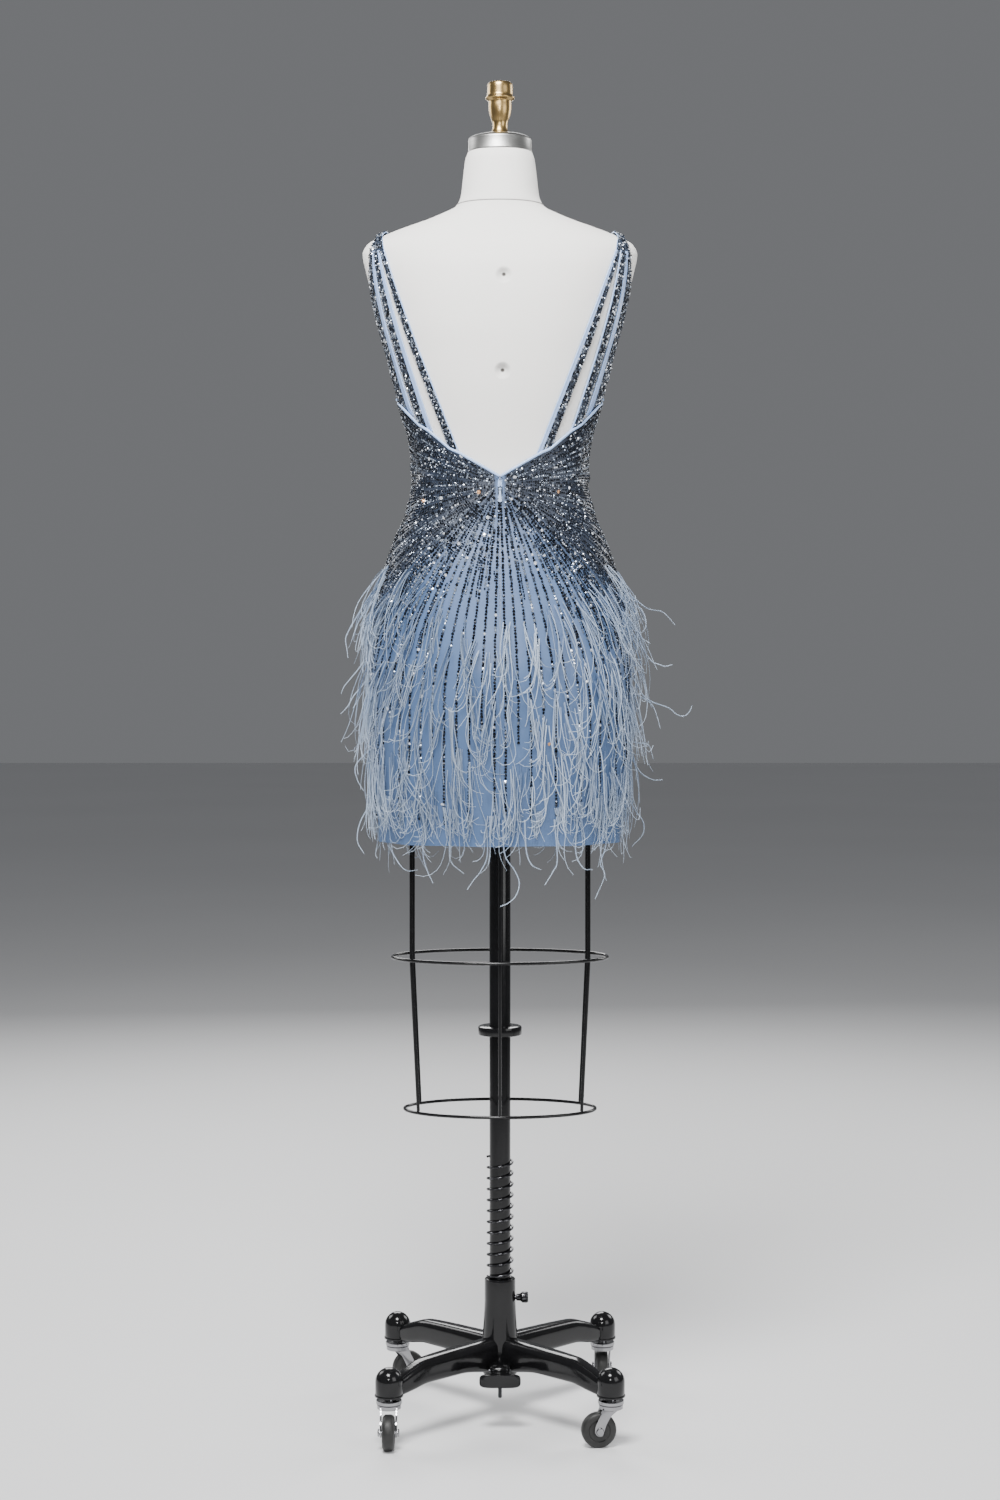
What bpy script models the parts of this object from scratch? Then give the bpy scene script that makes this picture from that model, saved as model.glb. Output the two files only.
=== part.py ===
"""Short beaded and feathered homecoming dress on a dress form with a wheeled stand.

Blender 4.5, metres, +Z up. The origin is on the floor, on the axis of the pole.
The front of the dress faces -Y, its back faces +Y, and its left side is at +X.
"""
import math
import random

import bmesh
import bpy
from mathutils import Matrix, Vector
from mathutils.bvhtree import BVHTree

# Driving dimensions

SEED = 11
GAP = 0.0003

# The figure under the cloth. Columns: height, half width at the sides, depth to the front, depth to the back.
FIGURE = (
    (0.760, 0.152, 0.103, 0.107),
    (0.850, 0.162, 0.106, 0.116),
    (0.920, 0.167, 0.107, 0.122),
    (0.980, 0.169, 0.106, 0.123),
    (1.040, 0.166, 0.104, 0.117),
    (1.090, 0.159, 0.102, 0.107),
    (1.128, 0.150, 0.099, 0.098),
    (1.165, 0.137, 0.094, 0.088),
    (1.200, 0.122, 0.089, 0.080),
    (1.235, 0.114, 0.086, 0.076),
    (1.265, 0.1145, 0.088, 0.077),
    (1.300, 0.119, 0.095, 0.081),
    (1.333, 0.129, 0.104, 0.086),
    (1.370, 0.139, 0.111, 0.091),
    (1.405, 0.147, 0.110, 0.094),
    (1.443, 0.158, 0.100, 0.096),
    (1.480, 0.167, 0.087, 0.095),
    (1.520, 0.178, 0.073, 0.090),
    (1.546, 0.183, 0.062, 0.081),
    (1.558, 0.177, 0.058, 0.075),
    (1.570, 0.154, 0.054, 0.069),
    (1.580, 0.128, 0.052, 0.064),
    (1.589, 0.102, 0.050, 0.060),
    (1.598, 0.080, 0.049, 0.056),
    (1.608, 0.060, 0.048, 0.053),
    (1.622, 0.0525, 0.0475, 0.0505),
    (1.650, 0.049, 0.0465, 0.0475),
    (1.672, 0.0462, 0.0452, 0.0456),
    (1.681, 0.0434, 0.0434, 0.0434),
)
ROUNDNESS = 0.93
FORM_BOTTOM = 0.800
FORM_TOP = 1.681
FORM_HEIGHTS = (0.800, 0.860, 0.920, 0.980, 1.040, 1.090, 1.128, 1.165, 1.200, 1.235, 1.268,
                1.302, 1.336, 1.370, 1.405, 1.443, 1.482, 1.520, 1.546, 1.558, 1.570, 1.580, 1.590,
                1.600, 1.614, 1.645, 1.670, 1.681)
BUST_HEIGHT = 1.372
BUST_APART = 0.066
BUST_DEPTH = 0.017
BUST_SIZE = 0.054
FORM_BUST = 0.75

# Cloth: the wall, its distance from the figure, and what lies on it.
CLOTH = 0.0015
CLOTH_OUT = 0.0018
TRIM_OUT = 0.0006
TRIM = 0.0012
HEM = 0.765
HEM_WAVES = 9
HEM_WAVE = 0.0035
HEM_WAVE_TOP = 0.960
QUARTER = 8
PANEL_ROWS = 19
SEAM_ANGLE = 0.0010

# Upper edge of the panels. Columns: distance from the centre, height.
BACK_NECK = (
    (0.000, 1.2465), (0.053, 1.278), (0.064, 1.283), (0.092, 1.308), (0.104, 1.316),
    (0.120, 1.333), (0.136, 1.352),
)
FRONT_NECK = (
    (0.000, 1.332), (0.030, 1.358), (0.060, 1.388), (0.090, 1.412), (0.104, 1.416),
    (0.116, 1.398), (0.130, 1.366), (0.136, 1.352),
)
BINDING_WIDTH = 0.006
FOOT_GAP = 0.0006

# Back straps. Columns: name, inner and outer edge at the foot, inner and outer edge at the top, bow outwards.
SPLIT = 1.5440
STRAPS = (
    ("inner", 0.0535, 0.0630, 0.1510, 0.1570, 0.003),
    ("middle", 0.0935, 0.1030, 0.1576, 0.1636, 0.006),
    ("outer", 0.1180, 0.1290, 0.1642, 0.1702, 0.009),
)
STRAP_STATIONS = 10
# The loop over the shoulder, as a line held just off the figure. Columns: across, depth, height.
LOOP = (
    (0.1600, 0.0330, 1.5640), (0.1590, 0.0120, 1.5800), (0.1570, -0.0120, 1.5820), (0.1520, -0.0380, 1.5700),
    (0.1420, -0.0640, 1.5360), (0.1300, -0.0920, 1.4900), (0.1130, -0.1200, 1.4450),
)
LOOP_WIDTH = 0.0100
LOOP_OUT = 0.0027
SPLIT_OUT = 0.0021
LOOP_FOOT = (0.0985, 0.1095)
LOOP_STATIONS = 22

# Feather tiers. Columns: height of the strip at the sides and at the centre, length and flare of the locks.
TIERS = (
    (1.128, 1.030, 0.145, 0.036),
    (1.020, 0.950, 0.150, 0.034),
    (0.920, 0.870, 0.150, 0.028),
    (0.828, 0.800, 0.130, 0.014),
)
STRIP_HEIGHT = 0.004
STRIP = 0.0012
LOCK_WIDTHS = ((0.42, 0.0110), (0.76, 0.0070))
LOCK_SWAY = 0.10
# Locks that stray further out: tier and place round the skirt, and how much further.
STRAYS = {(2, 15): 0.040, (2, 31): 0.018}

# Zip
SLIDER_HEIGHT = 1.2265
SLIDER_SIZE = (0.0060, 0.0018, 0.0100)
BAIL_RADIUS = 0.0006
BAIL_RISE = 0.0026
BAIL_HALF = 0.0019
PULL_EYE = 0.0019
PULL_WIDTH = 0.0050
PULL_LENGTH = 0.0170
PULL_THICK = 0.0010

# Pole, cap, finial and wire cage
POLE = 0.0140
POLE_BOTTOM = 0.1000
POLE_TOP = 1.000
POLE_SIDES = 24
RUNNING = 0.0006
COLLAR = (0.0290, 0.5060, 0.5180)
WIRE = 0.0022
# Cage rings. Columns: name, height, half width, half depth.
RINGS = (("cage_ring_upper", 0.610, 0.143, 0.082), ("cage_ring_lower", 0.408, 0.127, 0.072))
# Where the upright wires stand, in degrees from +X.
CAGE_WIRES = (32.0, 90.0, 148.0, 212.0, 270.0, 328.0)
RING_SIDES = 30

# Spring round the pole
SPRING_MEAN = 0.0166
SPRING_WIRE = 0.0016
SPRING_TURNS = 11
SPRING_TOP = 0.345
SPRING_POINTS = 11

# Cast base
HUB_TOP = 0.182
HUB_BOTTOM = 0.055
HUB_FLOOR = 0.060
HUB_UPPER = 0.0205
HUB_LOWER = 0.0235
HUB_TAPER = (0.150, 0.100)
DOME_REACH = 0.142
DOME = 0.0178
DOME_TOP = 0.101
DOME_BOTTOM = 0.060
# Arm sections. Columns: share of the way out, height of the underside, height of the top, half width.
ARM = ((0.04, 0.062, 0.105, 0.0150), (0.40, 0.070, 0.104, 0.0140), (0.68, 0.070, 0.102, 0.0125),
       (0.84, 0.065, 0.093, 0.0115), (0.97, 0.062, 0.084, 0.0100))
CLAMP_HEIGHT = 0.156

# Pedal, in front of the hub on the +Y side
PEDAL_AXIS = (0.0405, 0.0690)
PEDAL_WIDTH = 0.054
PEDAL_END = 0.0840
PEDAL_THICK = 0.006
# The pedal's front lip: where it starts, its underside and its top.
PEDAL_LIP = (0.0765, 0.0575, 0.0750)
PEDAL_EYE = 0.0055
PEDAL_PIN = 0.0022

# Casters: the way each one trails, in degrees from +X
CASTERS = (("rear_left", 1, -1, 205.0), ("rear_right", -1, -1, 270.0),
           ("front_left", 1, 1, 90.0), ("front_right", -1, 1, 8.0))
WHEEL = 0.0225
WHEEL_HALF = 0.0082
WHEEL_SIDES = 20
TRAIL = 0.016
AXLE = 0.0030
FORK_PLATE = (0.0155, 0.0490, 0.0544)
FORK_LEG = (0.0087, 0.0112)
STEM = 0.0040

MATERIALS = {
    "beaded_satin": ((0.075, 0.085, 0.105), 0.32, 0.45),
    "blue_satin": ((0.36, 0.50, 0.72), 0.34, 0.0),
    "feather": ((0.42, 0.48, 0.60), 0.75, 0.0),
    "linen": ((0.76, 0.74, 0.71), 0.88, 0.0),
    "steel": ((0.62, 0.61, 0.59), 0.32, 1.0),
    "brass": ((0.72, 0.52, 0.24), 0.28, 1.0),
    "black_gloss": ((0.012, 0.012, 0.013), 0.22, 0.0),
    "black_steel": ((0.020, 0.020, 0.022), 0.30, 0.6),
    "chrome": ((0.72, 0.72, 0.73), 0.14, 1.0),
    "rubber": ((0.018, 0.018, 0.019), 0.55, 0.0),
}


# Scene helpers

def clear_scene():
    for item in list(bpy.data.objects):
        bpy.data.objects.remove(item, do_unlink=True)


def collection(name):
    made = bpy.data.collections.new(name)
    bpy.context.scene.collection.children.link(made)
    return made


def material(name):
    if name in bpy.data.materials:
        return bpy.data.materials[name]
    colour, roughness, metallic = MATERIALS[name]
    made = bpy.data.materials.new(name)
    made.use_nodes = True
    shader = made.node_tree.nodes["Principled BSDF"]
    shader.inputs["Base Color"].default_value = (*colour, 1.0)
    shader.inputs["Roughness"].default_value = roughness
    shader.inputs["Metallic"].default_value = metallic
    made.diffuse_color = (*colour, 1.0)
    return made


def add_object(name, data, finish, group, location=(0, 0, 0), turn=None):
    made = bpy.data.objects.new(name, data)
    if finish:
        data.materials.append(material(finish))
    group.objects.link(made)
    made.location = location
    if turn is not None:
        made.rotation_euler = turn.to_euler()
    return made


def closed_mesh(name, points, faces):
    mesh = bpy.data.meshes.new(name)
    mesh.from_pydata([tuple(p) for p in points], [], faces)
    shape = bmesh.new()
    shape.from_mesh(mesh)
    bmesh.ops.recalc_face_normals(shape, faces=shape.faces)
    shape.to_mesh(mesh)
    shape.free()
    return mesh


def smooth(item, angle=40.0):
    item.data.shade_smooth()
    item.data.set_sharp_from_angle(angle=math.radians(angle))


def turned(name, profile, finish, group, steps=16, location=(0, 0, 0), turn=None, ring=False):
    """A profile of (radius, height) down its outer side, spun round Z; ring closes it on itself."""
    mesh = bpy.data.meshes.new(name)
    edges = [(i, i + 1) for i in range(len(profile) - 1)]
    if ring:
        edges.append((len(profile) - 1, 0))
    mesh.from_pydata([(r, 0.0, z) for r, z in profile], edges, [])
    made = add_object(name, mesh, finish, group, location, turn)
    screw = made.modifiers.new("Screw", "SCREW")
    screw.axis = "Z"
    screw.steps = steps
    screw.render_steps = steps
    screw.use_merge_vertices = True
    screw.merge_threshold = 0.00001
    return made


def boolean(item, other, operation):
    cut = item.modifiers.new(operation.title(), "BOOLEAN")
    cut.operation = operation
    cut.object = other
    cut.solver = "EXACT"


def as_tool(item):
    item.hide_render = True
    item.display_type = "WIRE"
    return item


def cylinder(name, radius, low, high, finish, group, sides=16, location=(0, 0, 0), turn=None):
    shape = bmesh.new()
    bmesh.ops.create_cone(shape, cap_ends=True, segments=sides, radius1=radius, radius2=radius,
                          depth=high - low, matrix=Matrix.Translation((0, 0, (low + high) / 2)))
    mesh = bpy.data.meshes.new(name)
    shape.to_mesh(mesh)
    shape.free()
    return add_object(name, mesh, finish, group, location, turn)


def block(name, low, high, finish, group, location=(0, 0, 0), turn=None):
    size = [b - a for a, b in zip(low, high)]
    middle = [(a + b) / 2 for a, b in zip(low, high)]
    shape = bmesh.new()
    bmesh.ops.create_cube(shape, size=1.0,
                          matrix=Matrix.Translation(middle) @ Matrix.Diagonal((*size, 1.0)))
    mesh = bpy.data.meshes.new(name)
    shape.to_mesh(mesh)
    shape.free()
    return add_object(name, mesh, finish, group, location, turn)


def wire(name, points, radius, finish, group, closed=False, roundness=1):
    """A wire along a list of points, as a curve that is made a mesh with welded caps."""
    curve = bpy.data.curves.new(name + "_line", "CURVE")
    curve.dimensions = "3D"
    curve.bevel_depth = radius
    curve.bevel_resolution = roundness
    curve.use_fill_caps = not closed
    spline = curve.splines.new("POLY")
    spline.points.add(len(points) - 1)
    for node, point in zip(spline.points, points):
        node.co = (*point, 1.0)
    spline.use_cyclic_u = closed
    line = bpy.data.objects.new(name + "_line", curve)
    group.objects.link(line)
    bpy.context.view_layer.update()
    graph = bpy.context.evaluated_depsgraph_get()
    mesh = bpy.data.meshes.new_from_object(line.evaluated_get(graph))
    bpy.data.objects.remove(line, do_unlink=True)
    shape = bmesh.new()
    shape.from_mesh(mesh)
    bmesh.ops.remove_doubles(shape, verts=shape.verts, dist=0.00001)
    bmesh.ops.recalc_face_normals(shape, faces=shape.faces)
    shape.to_mesh(mesh)
    shape.free()
    mesh.name = name
    made = add_object(name, mesh, finish, group)
    smooth(made, 60.0)
    return made


# The figure that the cloth is cut for

def table_value(table, column, z):
    """Smooth value of a table column at a height, without overshoot between its rows."""
    rows = len(table)
    if z <= table[0][0]:
        return table[0][column]
    if z >= table[-1][0]:
        return table[-1][column]
    i = max(k for k in range(rows - 1) if table[k][0] <= z)

    def slope(k):
        if k <= 0 or k >= rows - 1:
            return 0.0
        before = (table[k][column] - table[k - 1][column]) / (table[k][0] - table[k - 1][0])
        after = (table[k + 1][column] - table[k][column]) / (table[k + 1][0] - table[k][0])
        if before * after <= 0:
            return 0.0
        return 2 * before * after / (before + after)

    span = table[i + 1][0] - table[i][0]
    t = (z - table[i][0]) / span
    a, b = table[i][column], table[i + 1][column]
    return (a * (1 + 2 * t) * (1 - t) ** 2 + b * t * t * (3 - 2 * t)
            + span * (slope(i) * t * (1 - t) ** 2 - slope(i + 1) * t * t * (1 - t)))


def figure_point(z, angle, fullness=1.0):
    side = table_value(FIGURE, 1, z)
    c, s = math.cos(angle), math.sin(angle)
    depth = table_value(FIGURE, 3 if s > 0 else 2, z)
    x = side * math.copysign(abs(c) ** ROUNDNESS, c)
    y = depth * math.copysign(abs(s) ** ROUNDNESS, s)
    if s < 0:
        away = (abs(x) - BUST_APART) / BUST_SIZE
        up = (z - BUST_HEIGHT) / BUST_SIZE
        y -= fullness * BUST_DEPTH * min(1.0, -2 * s) * math.exp(-away * away - up * up)
    return Vector((x, y, z))


def skin(z, angle, out):
    """Point of the figure at a height and an angle, moved out along its normal."""
    around, along = 0.02, 0.004
    run = figure_point(z, angle + around) - figure_point(z, angle - around)
    rise = figure_point(z + along, angle) - figure_point(z - along, angle)
    return figure_point(z, angle) + run.cross(rise).normalized() * out


def angle_at(z, x, back=True):
    """Angle on the figure where it is x from the centre at a height."""
    share = min(0.995, abs(x) / table_value(FIGURE, 1, z)) ** (1 / ROUNDNESS)
    angle = math.acos(share)
    if x < 0:
        angle = math.pi - angle
    return angle if back else -angle


def drape(z, angle):
    """Distance of the inside of the cloth from the figure: close, with soft waves at the hem."""
    share = max(0.0, (HEM_WAVE_TOP - z) / (HEM_WAVE_TOP - HEM))
    return CLOTH_OUT + HEM_WAVE * share ** 1.5 * (1 + math.sin(HEM_WAVES * angle + 0.8))


def edge_height(neck, x):
    x = abs(x)
    for (xa, za), (xb, zb) in zip(neck, neck[1:]):
        if x <= xb:
            return za + (zb - za) * (x - xa) / (xb - xa)
    return neck[-1][1]


def top_height(neck, angle):
    z = neck[0][1]
    for _ in range(60):
        z += 0.4 * (edge_height(neck, figure_point(z, angle).x) - z)
    return z


def panel_angles(start, end):
    """Angles of a panel's columns, with half a seam left open at each end."""
    count = round(abs(end - start) / (math.pi / 2) * QUARTER)
    angles = [start + (end - start) * i / count for i in range(count + 1)]
    angles[0] += SEAM_ANGLE
    angles[-1] -= SEAM_ANGLE
    return angles


def sheet(name, rows, thickness, finish, group):
    """A grid of points as an open surface with its outside away from the pole, made a wall.

    It gives back the points with their normals, for what lies on the wall.
    """
    wide = len(rows[0])
    points = [p for row in rows for p in row]
    faces = [(r * wide + c, r * wide + c + 1, (r + 1) * wide + c + 1, (r + 1) * wide + c)
             for r in range(len(rows) - 1) for c in range(wide - 1)]
    mesh = bpy.data.meshes.new(name)
    mesh.from_pydata([tuple(p) for p in points], [], faces)
    shape = bmesh.new()
    shape.from_mesh(mesh)
    shape.normal_update()
    facing = 0.0
    for face in shape.faces:
        middle = face.calc_center_median()
        facing += face.normal.dot(Vector((middle.x, middle.y, max(0.0, middle.z - 1.5))))
    if facing < 0:
        bmesh.ops.reverse_faces(shape, faces=shape.faces)
    shape.normal_update()
    shape.verts.ensure_lookup_table()
    lines = [[(v.co.copy(), v.normal.copy()) for v in shape.verts[r * wide:(r + 1) * wide]]
             for r in range(len(rows))]
    shape.to_mesh(mesh)
    shape.free()
    made = add_object(name, mesh, finish, group)
    wall = made.modifiers.new("Solidify", "SOLIDIFY")
    wall.thickness = thickness
    wall.offset = 1.0
    smooth(made, 50.0)
    return lines


# The garment

def panel(name, start, end, neck, group):
    """One panel from the hem to its upper edge, with the binding along that edge."""
    angles = panel_angles(start, end)
    tops = [top_height(neck, a) for a in angles]
    points = []
    for r in range(PANEL_ROWS + 1):
        heights = [HEM + (top - BINDING_WIDTH - HEM) * r / PANEL_ROWS for top in tops]
        points.append([skin(z, a, drape(z, a)) for z, a in zip(heights, angles)])
    points.append([skin(z, a, drape(z, a)) for z, a in zip(tops, angles)])
    lines = sheet("dress_" + name, points, CLOTH, "beaded_satin", group)
    strip = [[p + n * (CLOTH + TRIM_OUT) for p, n in line] for line in lines[-2:]]
    sheet("edge_binding_" + name, strip, TRIM, "blue_satin", group)
    return list(zip(angles, tops))


def edge_top(edge, angle):
    for (a, za), (b, zb) in zip(edge, edge[1:]):
        if a <= angle <= b:
            return za + (zb - za) * (angle - a) / (b - a)
    return edge[0][1] if angle < edge[0][0] else edge[-1][1]


def foot_heights(edge, x_in, x_out, back=True):
    """Heights where a strap's two edges end just above a panel's upper edge."""
    ends = []
    for x in (x_in, x_out):
        z = edge_top(edge, angle_at(BACK_NECK[2][1], x, back))
        for _ in range(40):
            z += 0.4 * (edge_top(edge, angle_at(z, x, back)) + FOOT_GAP - z)
        ends.append((angle_at(z, x, back), z))
    (a, za), (b, zb) = sorted(ends)
    lift = 0.0
    for angle, z in edge:
        if a < angle < b:
            lift = max(lift, z + FOOT_GAP - (za + (zb - za) * (angle - a) / (b - a)))
    return ends[0][1] + lift, ends[1][1] + lift


def back_strap(side, row, edge, group):
    name, foot_in, foot_out, top_in, top_out, bow = row
    low_in, low_out = foot_heights(edge, foot_in * side, foot_out * side)
    stations = []
    for i in range(STRAP_STATIONS + 1):
        t = i / STRAP_STATIONS
        lean = bow * 4 * t * (1 - t) * (0.5 + t)
        pair = []
        for foot, low, top in ((foot_in, low_in, top_in), (foot_out, low_out, top_out)):
            z = low + (SPLIT - low) * t
            x = foot + (top - foot) * t + lean
            pair.append(skin(z, angle_at(z, x * side), CLOTH_OUT))
        stations.append(pair)
    word = "left" if side > 0 else "right"
    sheet(f"strap_{word}_{name}", stations, CLOTH, "beaded_satin", group)


def smooth_line(points, count):
    """Points along a Catmull-Rom curve through the given ones."""
    ends = [points[0] * 2 - points[1], *points, points[-1] * 2 - points[-2]]
    line = []
    for i in range(count + 1):
        place = i / count * (len(points) - 1)
        k = min(int(place), len(points) - 2)
        t = place - k
        a, b, c, d = ends[k:k + 4]
        line.append(0.5 * (2 * b + (c - a) * t + (2 * a - 5 * b + 4 * c - d) * t * t
                           + (3 * b - 3 * c + d - a) * t ** 3))
    return line


def shoulder_strap(side, edge, tree, group):
    """One loop from the split, over the shoulder and down to the top of the front."""
    line = smooth_line([Vector((x * side, y, z)) for x, y, z in LOOP], LOOP_STATIONS)
    split = SPLIT + 2 * GAP
    across = (STRAPS[0][3], STRAPS[-1][4])
    stations = [[skin(split, angle_at(split, x * side), SPLIT_OUT) for x in across]]
    for i, point in enumerate(line):
        before, after = line[max(0, i - 1)], line[min(len(line) - 1, i + 1)]
        run = (after - before).normalized()
        near = tree.find_nearest(point)[0]
        outward = (point - near).normalized()
        sideways = outward.cross(run).normalized()
        if sideways.x * side > 0:
            sideways = -sideways
        pair = []
        for sign in (1, -1):
            off = point + sideways * sign * LOOP_WIDTH / 2
            seat = tree.find_nearest(off)[0]
            pair.append(seat + (off - seat).normalized() * LOOP_OUT)
        stations.append(pair)
    low = foot_heights(edge, LOOP_FOOT[0] * side, LOOP_FOOT[1] * side, back=False)
    stations.append([skin(z, angle_at(z, x * side, back=False), CLOTH_OUT)
                     for x, z in zip(LOOP_FOOT, low)])
    word = "left" if side > 0 else "right"
    sheet(f"strap_{word}_shoulder", stations, CLOTH, "beaded_satin", group)


def feather_tier(number, side_z, centre_z, length, flare, chance, group):
    """A strip round the skirt with locks that grow out of its underside and hang in shingles."""
    count = 4 * QUARTER
    inner = CLOTH + TRIM_OUT
    points = []
    faces = []

    def strip_z(angle):
        return side_z + (centre_z - side_z) * abs(math.sin(angle)) ** 3

    for i in range(count):
        a = 2 * math.pi * i / count
        base = strip_z(a)
        for z, out in ((base + STRIP_HEIGHT, inner), (base + STRIP_HEIGHT, inner + STRIP),
                       (base, inner + STRIP), (base, inner)):
            points.append(skin(z, a, drape(z, a) + out))
    for i in range(count):
        j = (i + 1) % count
        for k in range(3):
            if k != 2:
                faces.append((4 * i + k, 4 * j + k, 4 * j + k + 1, 4 * i + k + 1))
        faces.append((4 * i + 3, 4 * j + 3, 4 * j, 4 * i))
    for i in range(count):
        j = (i + 1) % count
        middle = 2 * math.pi * (i + 0.5) / count
        root = [4 * i + 2, 4 * j + 2, 4 * j + 3, 4 * i + 3]
        drop = length * chance.uniform(0.86, 1.10)
        spread = flare * chance.uniform(0.80, 1.15)
        sway = LOCK_SWAY * (0.6 * math.sin(3 * middle + number) + chance.uniform(-0.35, 0.35))
        spread += STRAYS.get((number, i), 0.0)
        start = strip_z(middle)
        for share, width in LOCK_WIDTHS:
            z = start - drop * share
            turn = middle + sway * share * share
            out = drape(z, turn) + inner + 0.001 + spread * share ** 1.4
            half = width / 2 / skin(z, turn, out).to_2d().length
            ring = []
            for a, more in ((turn - half, STRIP), (turn + half, STRIP), (turn + half, 0.0), (turn - half, 0.0)):
                points.append(skin(z, a, out + more))
                ring.append(len(points) - 1)
            for k in range(4):
                faces.append((root[k], root[(k + 1) % 4], ring[(k + 1) % 4], ring[k]))
            root = ring
        z = start - drop
        points.append(skin(z, middle + sway, drape(z, middle) + inner + 0.001 + spread))
        tip = len(points) - 1
        for k in range(4):
            faces.append((root[k], root[(k + 1) % 4], tip))
    made = add_object(f"feather_tier_{number}", closed_mesh(f"feather_tier_{number}", points, faces),
                      "feather", group)
    smooth(made, 50.0)


def zip_pieces(group, tools):
    """The slider at the centre back, with a bail, and the pull that hangs from the bail."""
    wide, thick, tall = SLIDER_SIZE
    wall = max(skin(z, math.pi / 2, CLOTH_OUT + CLOTH).y
               for z in (SLIDER_HEIGHT - tall / 2, SLIDER_HEIGHT, SLIDER_HEIGHT + tall / 2))
    face = wall + TRIM_OUT
    axis_y = face + thick + BAIL_RISE
    axis_z = SLIDER_HEIGHT + 0.0015
    slider = block("zip_slider", (-wide / 2, face, SLIDER_HEIGHT - tall / 2),
                   (wide / 2, face + thick, SLIDER_HEIGHT + tall / 2), "steel", group)
    reach = BAIL_HALF + 2 * BAIL_RADIUS
    bail = block("bail", (-reach, axis_y - BAIL_RADIUS, axis_z - BAIL_RADIUS),
                 (reach, axis_y + BAIL_RADIUS, axis_z + BAIL_RADIUS), None, tools)
    boolean(slider, as_tool(bail), "UNION")
    for sign in (-1, 1):
        ends = sorted((sign * BAIL_HALF, sign * reach))
        leg = block("bail_leg", (ends[0], face + thick / 2, axis_z - BAIL_RADIUS),
                    (ends[1], axis_y, axis_z + BAIL_RADIUS), None, tools)
        boolean(slider, as_tool(leg), "UNION")
    turn = Matrix.Rotation(math.pi / 2, 3, "Y")
    eye = BAIL_RADIUS * math.sqrt(2) + GAP
    half = BAIL_HALF - GAP
    pull = turned("zip_pull", ((PULL_EYE, half), (PULL_EYE, -half), (eye, -half), (eye, half)),
                  "steel", group, 16, (0.0, axis_y, axis_z), turn, ring=True)
    outline = [(-half, -eye - GAP), (-PULL_WIDTH / 4, -PULL_LENGTH * 0.45)]
    for i in range(7):
        a = math.pi * (1 + i / 6)
        outline.append((PULL_WIDTH / 2 * math.cos(a), -PULL_LENGTH + PULL_WIDTH / 2 + PULL_WIDTH / 2 * math.sin(a)))
    outline += [(PULL_WIDTH / 4, -PULL_LENGTH * 0.45), (half, -eye - GAP)]
    count = len(outline)
    points = [(x, axis_y + y, axis_z + z) for y in (-PULL_THICK / 2, PULL_THICK / 2) for x, z in outline]
    faces = [tuple(range(count)), tuple(range(count, 2 * count))]
    faces += [(k, (k + 1) % count, count + (k + 1) % count, count + k) for k in range(count)]
    tab = add_object("pull_tab", closed_mesh("pull_tab", points, faces), None, tools)
    boolean(pull, as_tool(tab), "UNION")


# The dress form and its cap

def form_mesh(name):
    count = 4 * QUARTER
    points = [figure_point(z, 2 * math.pi * i / count, FORM_BUST) for z in FORM_HEIGHTS for i in range(count)]
    faces = [tuple(range(count)), tuple(range(len(points) - count, len(points)))]
    for r in range(len(FORM_HEIGHTS) - 1):
        for i in range(count):
            j = (i + 1) % count
            faces.append((r * count + i, r * count + j, (r + 1) * count + j, (r + 1) * count + i))
    return closed_mesh(name, points, faces)


def form_pieces(group, tools):
    form = add_object("form_torso", form_mesh("form_torso"), "linen", group)
    socket = cylinder("pole_socket", POLE + RUNNING, FORM_BOTTOM - 0.02, POLE_TOP + GAP, None, tools,
                      POLE_SIDES)
    boolean(form, as_tool(socket), "DIFFERENCE")
    smooth(form, 50.0)
    low = FORM_TOP + GAP
    cap = turned("neck_cap", ((0.0, 1.7065), (0.0180, 1.7060), (0.0340, 1.7035), (0.0405, 1.7005),
                              (0.0422, 1.6985), (0.0422, low), (0.0, low)), "steel", group, 20)
    smooth(cap, 35.0)
    finial = turned("neck_finial", ((0.0, 1.7760), (0.0085, 1.7755), (0.0140, 1.7730), (0.0162, 1.7660),
                                    (0.0180, 1.7590), (0.0178, 1.7550), (0.0150, 1.7500), (0.0133, 1.7410),
                                    (0.0100, 1.7330), (0.0092, 1.7240), (0.0115, 1.7130), (0.0120, 1.7068),
                                    (0.0, 1.7068)), "brass", group, 14)
    smooth(finial, 35.0)


# The stand

def mast_pieces(group):
    pole = cylinder("mast_pole", POLE, POLE_BOTTOM, POLE_TOP, "black_gloss", group, POLE_SIDES)
    smooth(pole)
    radius, low, high = COLLAR
    bore = POLE + GAP
    collar = turned("mast_collar", ((bore, high), (radius, high), (radius, low), (bore, low)),
                    "black_gloss", group, POLE_SIDES, ring=True)
    smooth(collar, 35.0)


def ring_point(row, angle, inset=0.0):
    name, z, side, depth = row
    return Vector(((side - inset) * math.cos(angle), (depth - inset) * math.sin(angle), z))


def cage_pieces(group):
    for row in RINGS:
        line = [ring_point(row, 2 * math.pi * i / RING_SIDES) for i in range(RING_SIDES)]
        wire(row[0], line, WIRE, "black_gloss", group, closed=True)
    upper, lower = RINGS
    inset = 2 * WIRE + 2 * GAP
    for i, degrees in enumerate(CAGE_WIRES):
        a = math.radians(degrees)
        foot = ring_point(lower, a) + Vector((0, 0, WIRE + GAP))
        bend = ring_point(upper, a, inset)
        top = Vector((bend.x, bend.y, FORM_BOTTOM - GAP))
        wire(f"cage_wire_{i + 1}", [foot, bend, top], WIRE, "black_gloss", group)


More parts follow.
